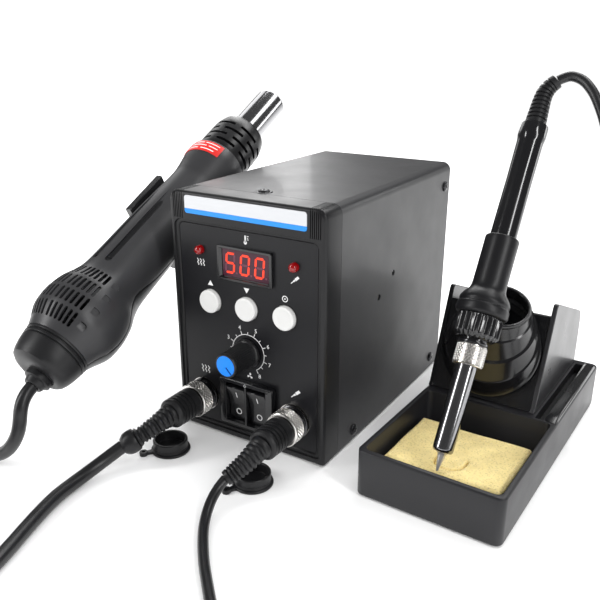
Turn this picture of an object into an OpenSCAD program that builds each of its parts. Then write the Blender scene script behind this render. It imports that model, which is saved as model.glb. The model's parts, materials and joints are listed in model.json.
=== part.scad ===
// Benchtop rework set: a station with a hot air gun in its side cradle, and a soldering iron on its own stand.
// Millimetres, +Z up. The station's front faces -Y. The origin is under the middle of the set, on the bench.

/* [Station] */
// Width of the station's case
case_w = 96; // [92:1:104]
// Depth from the bezel's front to the rear panel
case_d = 157; // [150:1:170]
// Height of the station
case_h = 138; // [134:1:142]
// Thickness of the sheet metal
sheet = 1.2; // [1:0.1:1.5]
// Depth of the moulded front bezel
bezel_d = 15; // [13:1:18]

/* [Hot air gun] */
// Distance from the station's middle plane to the gun's axis
gun_out = 80; // [80:1:84]
// Tilt of the gun above the bench, in degrees
gun_tilt = 28.6; // [26:0.2:31]
// Outer diameter of the steel nozzle tube
nozzle_d = 20.4; // [20:0.2:21]

/* [Iron] */
// Diameter of the barrel
barrel_d = 10.2; // [9:0.2:11]
// Diameter of the rubber grip
grip_d = 17; // [16:0.5:18]

/* [Stand] */
// Width of the stand's tray
tray_w = 74; // [72:1:78]
// Length of the stand's tray
tray_l = 165; // [160:1:172]
// Height of the tray's rim
tray_h = 26; // [25:1:28]

/* [Cords] */
// Diameter of the hot air gun's cord
air_cord_d = 7; // [6:0.5:7.5]
// Diameter of the iron's cord
iron_cord_d = 5; // [4.5:0.5:5.5]

/* [Hidden] */
$fn = 48;

// The station's front edge, and its middle, in the set's frame
station_x = -24;
station_y = -40;
foot_h = 1.5;           // how far the rubber feet stand out
hole_gap = 0.1;         // clearance round a screw
panel_y = 1.6;          // the control panel's face behind the bezel's
panel_t = 2;
panel_w = 85.8;
panel_z0 = 6.5;
panel_z1 = 120.7;
button_x = 23.7;
button_z = 79.5;
button_r = 6.5;
dial_z = 54.5;
led_x = 29.5;
led_z = 107.3;
display_z = 103.2;
switch_z = 24;
socket_x = 29.7;
socket_z = 23;
ring_front = -12;       // the coupling ring's outer end
plug_end = -30;         // where the plug's body gives way to its boot
board_y = 12;
screw_r = 1.5;
// Screws in each side of the case, as [y, z], and the one in its top
side_screws = [[33, 7], [143, 8.5], [149, 124]];
top_screw_y = 19;

// The gun's frame: +Z runs from its cord end to its nozzle, +Y points to its underside
gun_rear = [-gun_out, -69, 53.9];
cradle_screw_s = [124, 144];
cradle_screw_q = 41;
function gun_point(s, q) = [-gun_out, gun_rear[1] + s * cos(gun_tilt) + q * sin(gun_tilt),
                            gun_rear[2] + s * sin(gun_tilt) - q * cos(gun_tilt)];

// The stand's frame, turned a little on the bench
stand_at = [72.5, -11.5, 0];
stand_turn = -2.3;
holder_y = 82;          // foot of the inclined holder plate
holder_w = 60.5;
well_l = 74;
plate_lean = 22.7;      // from the vertical
plate_l = 57;
plate_t = 3;
funnel_at = [30.5, 92.5, 53.8];
mouth_at = [38, 84, 82];
mouth_r = 15.5;
sponge_top = 17.6;

// The iron's frame: +Z runs from the tip's point to the cord end
iron_at = [108.7, 2.9, 18.2];
iron_turn = -1.8;       // about +Z
iron_lean = 32.9;       // from the vertical

module at_station() translate([station_x, station_y, 0]) children();
module at_gun() at_station() translate(gun_rear) rotate([gun_tilt - 90, 0, 0]) children();
module at_stand() at_station() translate(stand_at) rotate([0, 0, stand_turn]) children();
module at_iron() at_station() translate(iron_at) rotate([0, 0, iron_turn]) rotate([-iron_lean, 0, 0]) children();
// Stands a profile drawn in X and Z up, and runs it from y0 to y1
module along_y(y0, y1) translate([0, y1, 0]) rotate([90, 0, 0]) linear_extrude(y1 - y0) children();
// A cylinder along Y from y0 to y1
module rod_y(x, z, r, y0, y1) translate([x, y0, z]) rotate([-90, 0, 0]) cylinder(r = r, h = y1 - y0);
module box(lo, hi) translate(lo) cube(hi - lo);
module ring(r_out, r_in, z0, z1) translate([0, 0, z0]) difference() {
  cylinder(r = r_out, h = z1 - z0);
  translate([0, 0, -1]) cylinder(r = r_in, h = z1 - z0 + 2);
}
module both_sides() { children(); mirror([1, 0, 0]) children(); }

// --- The station's case ---
module arch_2d(w, z0, z1, r) {
  translate([-w / 2, z0]) square([w, z1 - z0 - r]);
  translate([-w / 2 + r, z0]) square([w - 2 * r, z1 - z0]);
  for (s = [-1, 1]) translate([s * (w / 2 - r), z1 - r]) circle(r);
}
module rounded_2d(w, h, r) {
  square([w - 2 * r, h], center = true);
  square([w, h - 2 * r], center = true);
  for (a = [-1, 1], b = [-1, 1]) translate([a * (w / 2 - r), b * (h / 2 - r)]) circle(r);
}
module side_screw_holes(r) for (p = side_screws)
  translate([-case_w, p[0], p[1]]) rotate([0, 90, 0]) cylinder(r = r, h = 2 * case_w);

module case_cover() color([0.16, 0.16, 0.17]) at_station() difference() {
  along_y(bezel_d + 0.2, case_d) difference() {
    arch_2d(case_w, foot_h, case_h, 5);
    translate([0, -1]) arch_2d(case_w - 2 * sheet, foot_h, case_h - sheet + 1, 5 - sheet);
  }
  side_screw_holes(screw_r + hole_gap);
  translate([0, top_screw_y, case_h - 5]) cylinder(r = screw_r + hole_gap, h = 10);
  // Fixing holes for the gun's cradle, which fits either side
  for (s = cradle_screw_s) translate([-case_w, gun_point(s, cradle_screw_q)[1], gun_point(s, cradle_screw_q)[2]])
    rotate([0, 90, 0]) cylinder(r = 1.8, h = 2 * case_w);
}

module chassis_base() color([0.55, 0.56, 0.58]) at_station() difference() {
  w = case_w - 2 * sheet - 0.2;
  union() {
    box([-w / 2, bezel_d + 0.4, foot_h], [w / 2, case_d - 2 * sheet - 0.2, foot_h + sheet]);
    both_sides() box([w / 2 - sheet, 22, foot_h], [w / 2, case_d - 2 * sheet - 0.2, 14]);
    for (x = [-30, 30], y = [40, 90]) translate([x, y, foot_h]) cylinder(r = 3, h = 8);
  }
  side_screw_holes(screw_r + hole_gap);
}

module rear_panel() color([0.2, 0.2, 0.21]) at_station() difference() {
  w = case_w - 2 * sheet - 0.2;
  union() {
    along_y(case_d - 2 * sheet, case_d - sheet) arch_2d(w, foot_h + 0.2, case_h - sheet - 0.1, 3.8);
    both_sides() box([w / 2 - sheet, case_d - 14, 110], [w / 2, case_d - 2 * sheet, 132]);
  }
  side_screw_holes(screw_r + hole_gap);
  box([-14, case_d - 5, 20], [14, case_d, 40.5]);
  rod_y(30, 30, 6.1, case_d - 5, case_d);
  for (z = [60 : 6 : 114]) box([-28, case_d - 5, z], [28, case_d, z + 2.6]);
}

module front_bezel() color([0.10, 0.10, 0.11]) at_station() difference() {
  intersection() {
    along_y(0, bezel_d + 10) arch_2d(case_w, 0.4, case_h, 5);
    translate([0, (bezel_d + 10) / 2 + 1, -1]) linear_extrude(case_h + 2) rounded_2d(case_w, bezel_d + 12, 2);
    union() {
      box([-case_w, -2, -1], [case_w, bezel_d, case_h + 1]);
      // The tab under the cover that takes the top screw
      box([-9, 4, case_h - 6], [9, bezel_d + 10, case_h - sheet - 0.1]);
    }
  }
  along_y(-1, 5) translate([0, -1]) arch_2d(panel_w + 0.2, panel_z0 + 0.9, panel_z1 + 1.1, 3);
  along_y(panel_y + panel_t + 1.2, bezel_d + 20) arch_2d(case_w - 5, 3, case_h - 8, 4);
  translate([0, top_screw_y, case_h - 12]) cylinder(r = screw_r + hole_gap, h = 20);
  along_y(-1, 0.6) translate([0, 131.2]) rounded_2d(75, 9.7, 1.6);
  // Fine ribs at each end of the badge
  both_sides() for (i = [0 : 5]) box([39 + i * 1.25, -1, 122.5], [39.6 + i * 1.25, 0.5, case_h + 1]);
}

module control_panel() color([0.06, 0.06, 0.07]) at_station() along_y(panel_y, panel_y + panel_t) difference() {
  arch_2d(panel_w, panel_z0, panel_z1, 3);
  translate([0, display_z]) square([31.2, 16.8], center = true);
  for (x = [-led_x, led_x]) translate([x, led_z]) circle(2.6);
  for (x = [-button_x, 0, button_x]) translate([x, button_z]) circle(button_r + 0.3);
  translate([0, dial_z]) circle(3.6);
  translate([0, switch_z]) square([30.2, 25.2], center = true);
  for (x = [-socket_x, socket_x]) translate([x, socket_z]) circle(8);
}

module badge_plate() color([0.9, 0.9, 0.91]) at_station() along_y(-0.2, 0.6) translate([0, 131.2]) rounded_2d(74.8, 9.5, 1.5);

module display_frame() color([0.13, 0.13, 0.14]) at_station() difference() {
  union() {
    along_y(-0.6, panel_y) translate([0, display_z]) square([34, 18.6], center = true);
    along_y(panel_y, 7) translate([0, display_z]) square([31, 16.6], center = true);
  }
  along_y(-1, 8) translate([0, display_z]) square([29, 14.8], center = true);
}
module display_window() color([0.3, 0.02, 0.06]) at_station()
  along_y(1, 2.2) translate([0, display_z]) square([28.9, 14.7], center = true);
module display_module() color([0.2, 0.18, 0.18]) at_station()
  along_y(3, board_y) translate([0, display_z]) square([28.6, 14.4], center = true);

module indicator_leds() color([0.75, 0.02, 0.02]) at_station() for (x = [-led_x, led_x]) {
  rod_y(x, led_z, 2.5, 0.6, board_y);
  translate([x, 0.6, led_z]) intersection() {
    sphere(2.5);
    box([-3, -3, -3], [3, 0, 3]);
  }
  rod_y(x, led_z, 2.9, panel_y + panel_t, panel_y + panel_t + 1);
}

// --- Controls ---
module button(x) color([0.9, 0.9, 0.89]) at_station() {
  rod_y(x, button_z, button_r, -0.9, 5);
  rod_y(x, button_z, 7.6, 5, 6.2);
  rod_y(x, button_z, 1.8, 6.2, 8.4);
}
module button_up() button(-button_x);
module button_down() button(0);
module button_set() button(button_x);

module air_knob() color([0.05, 0.05, 0.055]) at_station() {
  translate([0, 0.7, dial_z]) rotate([90, 0, 0]) rotate_extrude()
    polygon([[0, 2.8], [5.6, 2.8], [5.6, 0], [8.2, 0], [8, 2.4], [7.2, 2.8], [6.5, 18.6], [6.1, 19.2],
             [5.7, 19.2], [5.7, 18.2], [0, 18.2]]);
  rod_y(0, dial_z, 3, -2.1, 6.6);
}
module knob_cap() color([0, 0.52, 0.92]) at_station() rod_y(0, dial_z, 5.6, -18.7, -17.5);
module potentiometer() color([0.6, 0.6, 0.62]) at_station() difference() {
  union() {
    rod_y(0, dial_z, 8, panel_y + panel_t, board_y);
    rod_y(0, dial_z, 3.55, -1.6, panel_y + panel_t);
    rod_y(0, dial_z, 5, 0.2, panel_y);
  }
  rod_y(0, dial_z, 3.06, -3, 7);
}

rocker_x = 6.9;
rocker_w = 12;
rocker_pivot = [6, switch_z];
rocker_rest = 10;
module switch_housing() color([0.08, 0.08, 0.085]) at_station() difference() {
  union() {
    along_y(-2.4, panel_y) translate([0, switch_z]) rounded_2d(35, 28, 1.2);
    along_y(panel_y, 17) translate([0, switch_z]) square([30, 25], center = true);
  }
  for (s = [-1, 1]) along_y(-3, 14.5) translate([s * rocker_x, switch_z]) square([rocker_w + 0.6, 24], center = true);
  translate([-13.9, rocker_pivot[0], rocker_pivot[1]]) rotate([0, 90, 0]) cylinder(r = 1.5, h = 27.8);
}
// A shallow V-shaped rocker on two pins, pressed in at the bottom
module rocker(x) color([0.1, 0.1, 0.105]) at_station()
  translate([x, rocker_pivot[0], rocker_pivot[1]]) rotate([rocker_rest, 0, 0]) {
    translate([-rocker_w / 2, 0, 0]) rotate([90, 0, 90]) linear_extrude(rocker_w)
      polygon([[-7, 10.6], [-5.4, 0], [-7, -10.6], [2, -8], [5, -3], [5, 3], [2, 8]]);
    translate([-rocker_w / 2 - 0.7, 0, 0]) rotate([0, 90, 0]) cylinder(r = 1.45, h = rocker_w + 1.4);
  }
module rocker_hot_air() rocker(-rocker_x);
module rocker_iron() rocker(rocker_x);

// --- Sockets, plugs and dust caps ---
module panel_sockets() color([0.8, 0.8, 0.8]) at_station() for (x = [-socket_x, socket_x]) difference() {
  union() {
    rod_y(x, socket_z, 9.6, -0.2, panel_y);
    rod_y(x, socket_z, 7.9, -5, 13);
  }
  rod_y(x, socket_z, 6.6, -6, 9);
}
module socket_nuts() color([0.7, 0.7, 0.72]) at_station() for (x = [-socket_x, socket_x]) difference() {
  translate([x, panel_y + panel_t, socket_z]) rotate([-90, 0, 0]) cylinder(r = 11, h = 2.4, $fn = 6);
  rod_y(x, socket_z, 8, 0, 10);
}
module coupling_ring(x) color([0.78, 0.77, 0.75]) at_station() difference() {
  rod_y(x, socket_z, 9.6, ring_front, -0.8);
  rod_y(x, socket_z, 7.98, -6.6, 0);
  rod_y(x, socket_z, 6.86, ring_front - 1, 0);
}
module coupling_ring_left() coupling_ring(-socket_x);
module coupling_ring_right() coupling_ring(socket_x);
module plug(x) color([0.05, 0.05, 0.055]) at_station() translate([x, 0, socket_z]) rotate([90, 0, 0]) rotate_extrude()
  polygon([[0, -4], [6.4, -4], [6.4, 5.2], [7.7, 5.2], [7.7, 6.3], [6.8, 6.3], [6.8, 12.3], [8.2, 12.3], [8.3, 19],
           [7.7, 19.3], [7.7, 20], [8.2, 20.3], [8.2, 21.6], [7.6, 21.9], [7.6, 22.6], [8.1, 22.9], [8.1, 24.2],
           [7.5, 24.5], [7.5, 25.2], [8, 25.5], [7.8, 27.5], [6.6, 30], [0, 30]]);
module plug_left() plug(-socket_x);
module plug_right() plug(socket_x);

// The rubber boots that bend down behind the plugs: [x, y, z, radius]
boot_left = [[-29.7, -30, 23, 5.6], [-30.6, -35.5, 22, 5.3], [-33, -41.5, 19.4, 4.9], [-36, -46.5, 16.6, 4.6],
             [-37, -48, 15.7, 5.6], [-38.6, -50.3, 14.4, 6.3], [-40.2, -52.4, 13.3, 5.9], [-41.5, -54, 12.5, 4.6]];
boot_right = [[29.7, -30, 23, 5.6], [29, -35, 21.4, 5.5], [27, -40.5, 18, 5.1], [24.2, -45, 14.8, 4.7],
              [21.6, -48.6, 12.4, 4.3]];
module plug_boots() color([0.05, 0.05, 0.055]) at_station() {
  swept(boot_left, 16);
  swept(boot_right, 16);
}
module dust_cap(x, y, turn) translate([x, y, 0]) rotate([0, 0, turn]) {
  difference() {
    union() {
      cylinder(r = 10.6, h = 1.6);
      cylinder(r = 9.4, h = 7);
    }
    translate([0, 0, 1.6]) cylinder(r = 8, h = 6);
  }
  translate([9.5, -1.5, 0]) cube([5, 3, 2.2]);
  translate([15, 0, 0]) cylinder(r = 2.2, h = 3);
}
module dust_caps() color([0.06, 0.06, 0.065]) at_station() {
  dust_cap(-32.5, -28, -125);
  dust_cap(24, -30, -115);
}

// --- Inside the station ---
module control_board() color([0.05, 0.3, 0.12]) at_station() {
  box([-39, board_y, 42], [39, board_y + 1.6, 118]);
  for (x = [-button_x, 0, button_x]) {
    box([x - 3, board_y - 2, button_z - 3], [x + 3, board_y, button_z + 3]);
    rod_y(x, button_z, 1.6, board_y - 2.3, board_y - 1);
  }
}
module main_board() color([0.05, 0.28, 0.12]) at_station() {
  box([-38, 30, 9.5], [38, 100, 11.1]);
  for (y = [40, 56, 72]) translate([-24, y, 11.1]) cylinder(r = 6, h = 22);
  box([8, 38, 11.1], [11, 92, 40]);
}
module transformer() color([0.5, 0.38, 0.2]) at_station() {
  box([-32, 106, foot_h + sheet], [24, 146, 50]);
  box([-25, 101, 12], [17, 106, 42]);
}
module power_inlet() color([0.05, 0.05, 0.05]) at_station() difference() {
  union() {
    box([-14.8, case_d - sheet, 19.2], [14.8, case_d + 1.4, 41.3]);
    box([-13.6, case_d - 10, 20.4], [13.6, case_d - sheet, 40.1]);
  }
  box([-11.5, case_d - 8, 23.5], [11.5, case_d + 3, 37]);
}
module fuse_holder() color([0.06, 0.06, 0.06]) at_station() {
  rod_y(30, 30, 6, case_d - 30, case_d - sheet);
  rod_y(30, 30, 8, case_d - sheet, case_d + 1.6);
}
module rubber_feet() color([0.05, 0.05, 0.05]) {
  at_station() for (x = [-36, 36], y = [28, 140]) translate([x, y, 0]) cylinder(r = 6, h = foot_h);
  at_stand() for (x = [10, tray_w - 10], y = [12, tray_l - 12]) translate([x, y, 0]) cylinder(r = 5, h = 1);
}
// Pan-head screws: three in each side of the case, one in its top and two through the cradle's flange
module pan_screw(reach) {
  cylinder(r = screw_r, h = reach);
  rotate([180, 0, 0]) rotate_extrude() intersection() {
    translate([0, -4.6]) circle(6);
    square([3.2, 3]);
  }
}
module fixing_screws() color([0.1, 0.1, 0.1]) at_station() {
  both_sides() for (p = side_screws) translate([-case_w / 2, p[0], p[1]]) rotate([0, 90, 0]) pan_screw(6);
  translate([0, top_screw_y, case_h]) rotate([180, 0, 0]) pan_screw(7);
  for (s = cradle_screw_s) translate(gun_point(s, cradle_screw_q)) translate([gun_out - case_w / 2 - 4, 0, 0])
    rotate([0, 90, 0]) pan_screw(10);
}

// --- The gun's cradle, in the gun's frame ---
cradle_r = 19.8;
cradle_side = gun_out - case_w / 2;
module gun_cradle() color([0.09, 0.09, 0.1]) at_gun() difference() {
  union() {
    box([-24.2, -10.5, 110], [cradle_side, 30, 143]);
    box([-16, 12, 98], [cradle_side, 36, 143]);
    box([cradle_side - 4, 20, 112], [cradle_side, 50, 152]);
  }
  translate([0, 0, 90]) cylinder(r = cradle_r, h = 60);
  box([-cradle_r, -12, 90], [cradle_r, 0, 160]);
  for (s = cradle_screw_s) translate([cradle_side - 10, cradle_screw_q, s]) rotate([0, 90, 0])
    cylinder(r = screw_r + hole_gap, h = 20);
}

// --- The gun ---
// Half profile of the gun's shell, as [radius, distance from the cord end]
shell_outline = [[18.9, 14], [20.6, 18], [24, 25], [25, 31], [24.9, 38], [23.4, 46], [20.8, 53], [19.2, 60],
                 [18.6, 72], [18, 105], [16.6, 140], [17, 150], [18.6, 160], [19.2, 166], [18.6, 172]];
shell_t = 2.2;
module shell_ring() rotate_extrude() difference() {
  polygon(concat([[0, 14]], shell_outline, [[0, 172]]));
  polygon(concat([[0, 13]], [for (p = shell_outline) [p[0] - shell_t, p[1] + (p[1] == 172 ? 1 : p[1] == 14 ? -1 : 0)]],
                 [[0, 173]]));
}
parting_q = 6;          // the shells meet this far below the axis
module gun_shell_upper() color([0.2, 0.2, 0.21]) at_gun() intersection() {
  shell_ring();
  box([-30, -30, 0], [30, parting_q, 200]);
}
module gun_shell_lower() color([0.08, 0.08, 0.085]) at_gun() intersection() {
  shell_ring();
  box([-30, parting_q, 0], [30, 30, 200]);
}
module gun_collar() color([0.14, 0.14, 0.145]) at_gun() difference() {
  rotate_extrude() polygon([[nozzle_d / 2 + 0.1, 172], [16.2, 172], [17.2, 174], [17, 196], [15.2, 204],
                            [nozzle_d / 2 + 0.1, 204]]);
  translate([0, 0, 171]) cylinder(r1 = 14.5, r2 = 14, h = 28);
  for (row = [0 : 3], k = [0 : 5]) rotate([0, 0, k * 60 + row * 30]) translate([0, 0, 177 + row * 5.4])
    box([10, -6.5, 0], [20, 6.5, 1.8]);
}
nozzle_neck_r = 9.4;     // the tube is narrower inside its collar
nozzle_bore_r = 8.9;
module nozzle_tube() color([0.85, 0.85, 0.86]) at_gun() {
  ring(nozzle_d / 2, nozzle_d / 2 - 0.6, 204.4, 241.8);
  ring(nozzle_d / 2, nozzle_bore_r, 204.4, 205);
  ring(nozzle_neck_r, nozzle_bore_r, 176, 205);
  ring(13.8, nozzle_bore_r, 172.4, 176);
}
module gun_heater() color([0.85, 0.8, 0.7]) at_gun() ring(8.6, 2.5, 150, 226);
module fan_impeller() color([0.15, 0.15, 0.16]) at_gun() {
  ring(4.2, 1.02, 24, 40);
  ring(19, 4.2, 24, 25.5);
  for (k = [0 : 10]) rotate([0, 0, k * 360 / 11]) box([4, -0.5, 25.5], [18.6, 0.5, 38]);
}
module fan_motor() color([0.6, 0.6, 0.62]) at_gun() {
  cylinder(r = 1, h = 42);
  translate([0, 0, 42]) cylinder(r = 11, h = 26);
  for (k = [0 : 2]) rotate([0, 0, k * 120 + 30]) box([10, -1.5, 58], [16.2, 1.5, 66]);
}
boss_q = 4;
module gun_end_cap() color([0.1, 0.1, 0.105]) at_gun() difference() {
  union() {
    rotate_extrude() polygon([[0, -3], [13.2, -3], [15.4, -1.6], [17.6, 4.5], [18.3, 9], [17.9, 9.6], [17.9, 10.2],
                              [18.6, 10.6], [18.6, 11.8], [18.1, 12.2], [18.1, 12.8], [18.8, 13.2], [18.8, 14], [0, 14]]);
    translate([0, boss_q, -6]) cylinder(r = 7.4, h = 4);
    translate([0, boss_q, -9]) cylinder(r1 = 5, r2 = 6, h = 3);
  }
  translate([0, 0, -0.8]) cylinder(r = 14, h = 20);
}
module gun_label() color([0.85, 0.1, 0.08]) at_gun() intersection() {
  rotate_extrude() polygon([[19.05, 161.5], [19.55, 166], [19.2, 170.3], [18.95, 170.3], [19.35, 166], [18.9, 161.5]]);
  rotate([0, 0, 222]) box([0, 0, 150], [30, 30, 180]);
}

// --- The iron, in its own frame ---
grip_r = grip_d / 2;
module iron_tip() color([0.72, 0.7, 0.7]) at_iron() rotate_extrude()
  polygon([[0, 0], [0.35, 0.2], [2.1, 8.4], [2.1, 9.2], [3.2, 9.2], [3.2, 34], [0, 34]]);
module iron_barrel() color([0.5, 0.5, 0.52]) at_iron() difference() {
  union() {
    translate([0, 0, 9.4]) cylinder(r = barrel_d / 2, h = 47);
    translate([0, 0, 54.6]) cylinder(r = 6.1, h = 1.8);
  }
  translate([0, 0, 9]) cylinder(r = 3.4, h = 60);
}
module barrel_nut() color([0.78, 0.78, 0.77]) at_iron() difference() {
  translate([0, 0, 52.6]) cylinder(r = 7.5, h = 10.6);
  translate([0, 0, 50]) cylinder(r = barrel_d / 2 + 0.3, h = 20);
  translate([0, 0, 54.4]) cylinder(r = 6.5, h = 20);
}
module iron_collar() color([0.06, 0.06, 0.065]) at_iron() difference() {
  union() {
    ring(6.4, 3.6, 56.7, 66);
    ring(7.2, 3.6, 63.6, 65);
    difference() {
      translate([0, 0, 66]) cylinder(r1 = 9, r2 = 11.2, h = 2.4);
      translate([0, 0, 60]) cylinder(r = 3.6, h = 20);
    }
    ring(11.2, 3.6, 68.4, 77.4);
  }
  for (k = [0 : 17]) rotate([0, 0, k * 20]) translate([11.9, 0, 67]) cylinder(r = 1.1, h = 20);
}
module iron_heater_core() translate([0, 0, 34.4]) cylinder(r = 2.6, h = 44);
module iron_grip() color([0.07, 0.07, 0.075]) at_iron() rotate_extrude()
  polygon([[6.7, 77.8], [12, 77.8], [12.9, 79.4], [12.9, 82.6], [12.2, 83.6], [12.6, 84.8], [11.6, 87.6], [9.2, 90.4],
           [grip_r, 93], [grip_r, 118.2], [grip_r - 0.6, 119.2], [6.7, 119.2]]);
module iron_handle() color([0.05, 0.05, 0.055]) at_iron() {
  rotate_extrude() polygon([[0, 77.6], [6.6, 77.6], [6.6, 172], [6.9, 174], [6.9, 180.4], [6.3, 181], [3.4, 181],
                            [3.4, 179], [0, 179]]);
  iron_heater_core();
}
// The boot bends over at its end, and the first stretch of the cord leaves it: [x, y, z, radius]
boot_bend = [[0, 0, 179.2, 3.3], [0, 0, 181.3, 3.3], [0, 0, 181.4, 5.4], [0, 0, 189, 5], [0, 0, 195.5, 4.6],
             [0.5, 0, 199.4, 4.4], [2.3, 0, 203.1, 4.1], [4.8, 0, 206.1, 3.8], [5, 0, 206.3, 2.5], [7.4, 0.1, 207.8, 2.5],
             [9.5, 0.1, 208.7, 2.5]];
module iron_boot() color([0.06, 0.06, 0.065]) at_iron() swept(boot_bend, 24);

// --- The stand ---
module stand_tray() color([0.2, 0.2, 0.21]) at_stand() difference() {
  translate([tray_w / 2, tray_l / 2, 1]) linear_extrude(tray_h - 1) rounded_2d(tray_w, tray_l, 4);
  // The well for the sponge
  translate([tray_w / 2, 3.2 + well_l / 2, 4]) linear_extrude(tray_h) rounded_2d(tray_w - 6.4, well_l, 3);
  // The channel beside the holder, and the hollow under its block
  box([holder_w + 1.4, holder_y - 3, tray_h - 6], [tray_w - 7.6, tray_l - 6, tray_h + 1]);
  box([6, holder_y + 4, -1], [tray_w - 10, tray_l - 6, tray_h - 8]);
}

module holder_side() rotate([90, 0, 90]) linear_extrude(2.6)
  polygon([[holder_y, tray_h + 0.1], [holder_y + 2, tray_h + 2.5], [holder_y + plate_l * sin(plate_lean), 80.5],
           [tray_l - 7, 60.5], [tray_l - 3, 57.5], [tray_l - 3, tray_h + 0.1]]);
module holder_plate_2d(w_foot, w_top, l) polygon([[-w_foot / 2, 0], [w_foot / 2, 0], [w_top / 2, l], [-w_top / 2, l]]);
module stand_holder() color([0.1, 0.1, 0.105]) at_stand() {
  holder_side();
  translate([holder_w - 2.6, 0, 0]) holder_side();
  difference() {
    translate([holder_w / 2, holder_y + 1.4, tray_h + 1.8]) rotate([90 - plate_lean, 0, 0])
      translate([0, 0, -plate_t]) linear_extrude(plate_t) holder_plate_2d(holder_w - 5, holder_w - 5, plate_l - 8);
    translate(funnel_at) rotate([90 - plate_lean, 0, 0]) translate([0, 0, -20]) cylinder(r = 23, h = 40);
  }
  box([2.6, tray_l - 5.6, tray_h + 0.1], [holder_w - 2.6, tray_l - 3, 52]);
}

// The funnel runs from a round flange on the plate up to a round mouth
flange_normal = [0, -sin(90 - plate_lean), cos(90 - plate_lean)];
mouth_normal = [0.2, -0.38, 0.9];
funnel_sides = 40;
function across(n) = unit([1, 0, 0] - (n[0] / (n * n)) * n);
// One ring of the funnel: how far it is from flange to mouth, how far off the plate, and its radius
function funnel_ring(t, off, r) =
  let (n = unit((1 - t) * flange_normal + t * mouth_normal), a = across(n), b = cross(unit(n), a),
       mid = (1 - t) * funnel_at + t * mouth_at + off * flange_normal)
  [for (k = [0 : funnel_sides - 1]) mid + r * (cos(360 * k / funnel_sides) * a + sin(360 * k / funnel_sides) * b)];
module stand_funnel() color([0.05, 0.05, 0.055]) at_stand() {
  rings = [funnel_ring(0, 0.4, 27.4), funnel_ring(0, 2.6, 27.4), funnel_ring(0, 3, 25.6), funnel_ring(0.2, 2.6, 24.4),
           funnel_ring(0.48, 1.6, 21.8), funnel_ring(0.5, 1.6, 20.4), funnel_ring(0.75, 0.8, 18.6),
           funnel_ring(0.96, 0, mouth_r + 2), funnel_ring(1, 0, mouth_r + 2), funnel_ring(1, 0, mouth_r),
           funnel_ring(0.75, 0, 16.8), funnel_ring(0.48, 0, 18.6), funnel_ring(0.2, 0.2, 21.4), funnel_ring(0, 0.4, 22.8)];
  n = len(rings);
  walls = [for (i = [0 : n - 1], k = [0 : funnel_sides - 1]) let (k2 = (k + 1) % funnel_sides, i2 = (i + 1) % n)
    [i * funnel_sides + k, i2 * funnel_sides + k, i2 * funnel_sides + k2, i * funnel_sides + k2]];
  polyhedron([for (r = rings, p = r) p], walls, convexity = 6);
}
module cleaning_sponge() color([0.9, 0.82, 0.5]) at_stand()
  translate([36.5, 40, 4.1]) linear_extrude(sponge_top - 4.1) rounded_2d(60, 46, 2);

// --- Cords: each runs from its plug to a coil beside the set, and back up to its tool ---
air_cord_out = [[-41.5, -54, 12.5], [-44, -59.5, 9.8], [-46.4, -66, 7], [-48, -74, 4.8], [-48.4, -83, 3.7],
                [-47, -94, 3.6], [-43.6, -106, 3.6], [-39, -119, 3.6], [-34.5, -131, 3.6], [-31, -143, 3.6],
                [-31, -156, 3.6], [-36, -170, 3.6], [-45, -182, 3.6], [-63.5, -196.5, 3.6]];
air_cord_back = [[-141.3, -156, 10.6], [-142, -142, 8.6], [-140, -128, 6], [-136, -115, 4.2], [-129, -103, 3.6],
                 [-118, -95, 3.6], [-107, -90, 4.4], [-98, -88, 7], [-91, -87.4, 11.4], [-85.5, -87, 17.2],
                 [-81.5, -86.3, 23.8], [-79.4, -85.6, 30.5], [-79, -84.4, 36.6], [-79.4, -82, 41],
                 [-79.8, -78.8, 43.9], [-80, -75.3, 45.9]];
air_coil_at = [-96, -164];
air_coil_r = [34.1, 46];    // middle of the innermost and outermost turns
iron_cord_out = [[21.6, -48.6, 12.4], [20.6, -53, 9.6], [21, -59, 6.6], [23.4, -66, 4], [28, -74, 2.7],
                 [34.6, -82.5, 2.6], [43, -92, 2.6], [52, -101, 2.6], [62, -110.5, 2.6], [74, -120.5, 2.6],
                 [90, -131, 2.6], [108, -139.5, 2.6], [126, -147, 2.6], [141.7, -150.9, 2.6]];
iron_cord_back = [[182, -120, 7.6], [184, -104, 6], [189, -86, 3.4], [195, -66, 2.6], [200.6, -44, 2.6],
                  [204, -20, 2.6], [204.6, 4, 2.6], [202, 26, 3.4], [197, 44, 8.6], [190.6, 59, 20],
                  [184, 71, 37], [177, 81.5, 60], [169.6, 91, 88], [161.6, 99, 118], [153, 104.6, 146],
                  [144.6, 108.4, 170.6], [138.4, 110.9, 183], [134, 113, 188.6], [129.4, 115, 192.2],
                  [124, 116.2, 193.8]];
iron_coil_at = [150, -120];
iron_coil_r = [23.9, 32];

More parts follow.
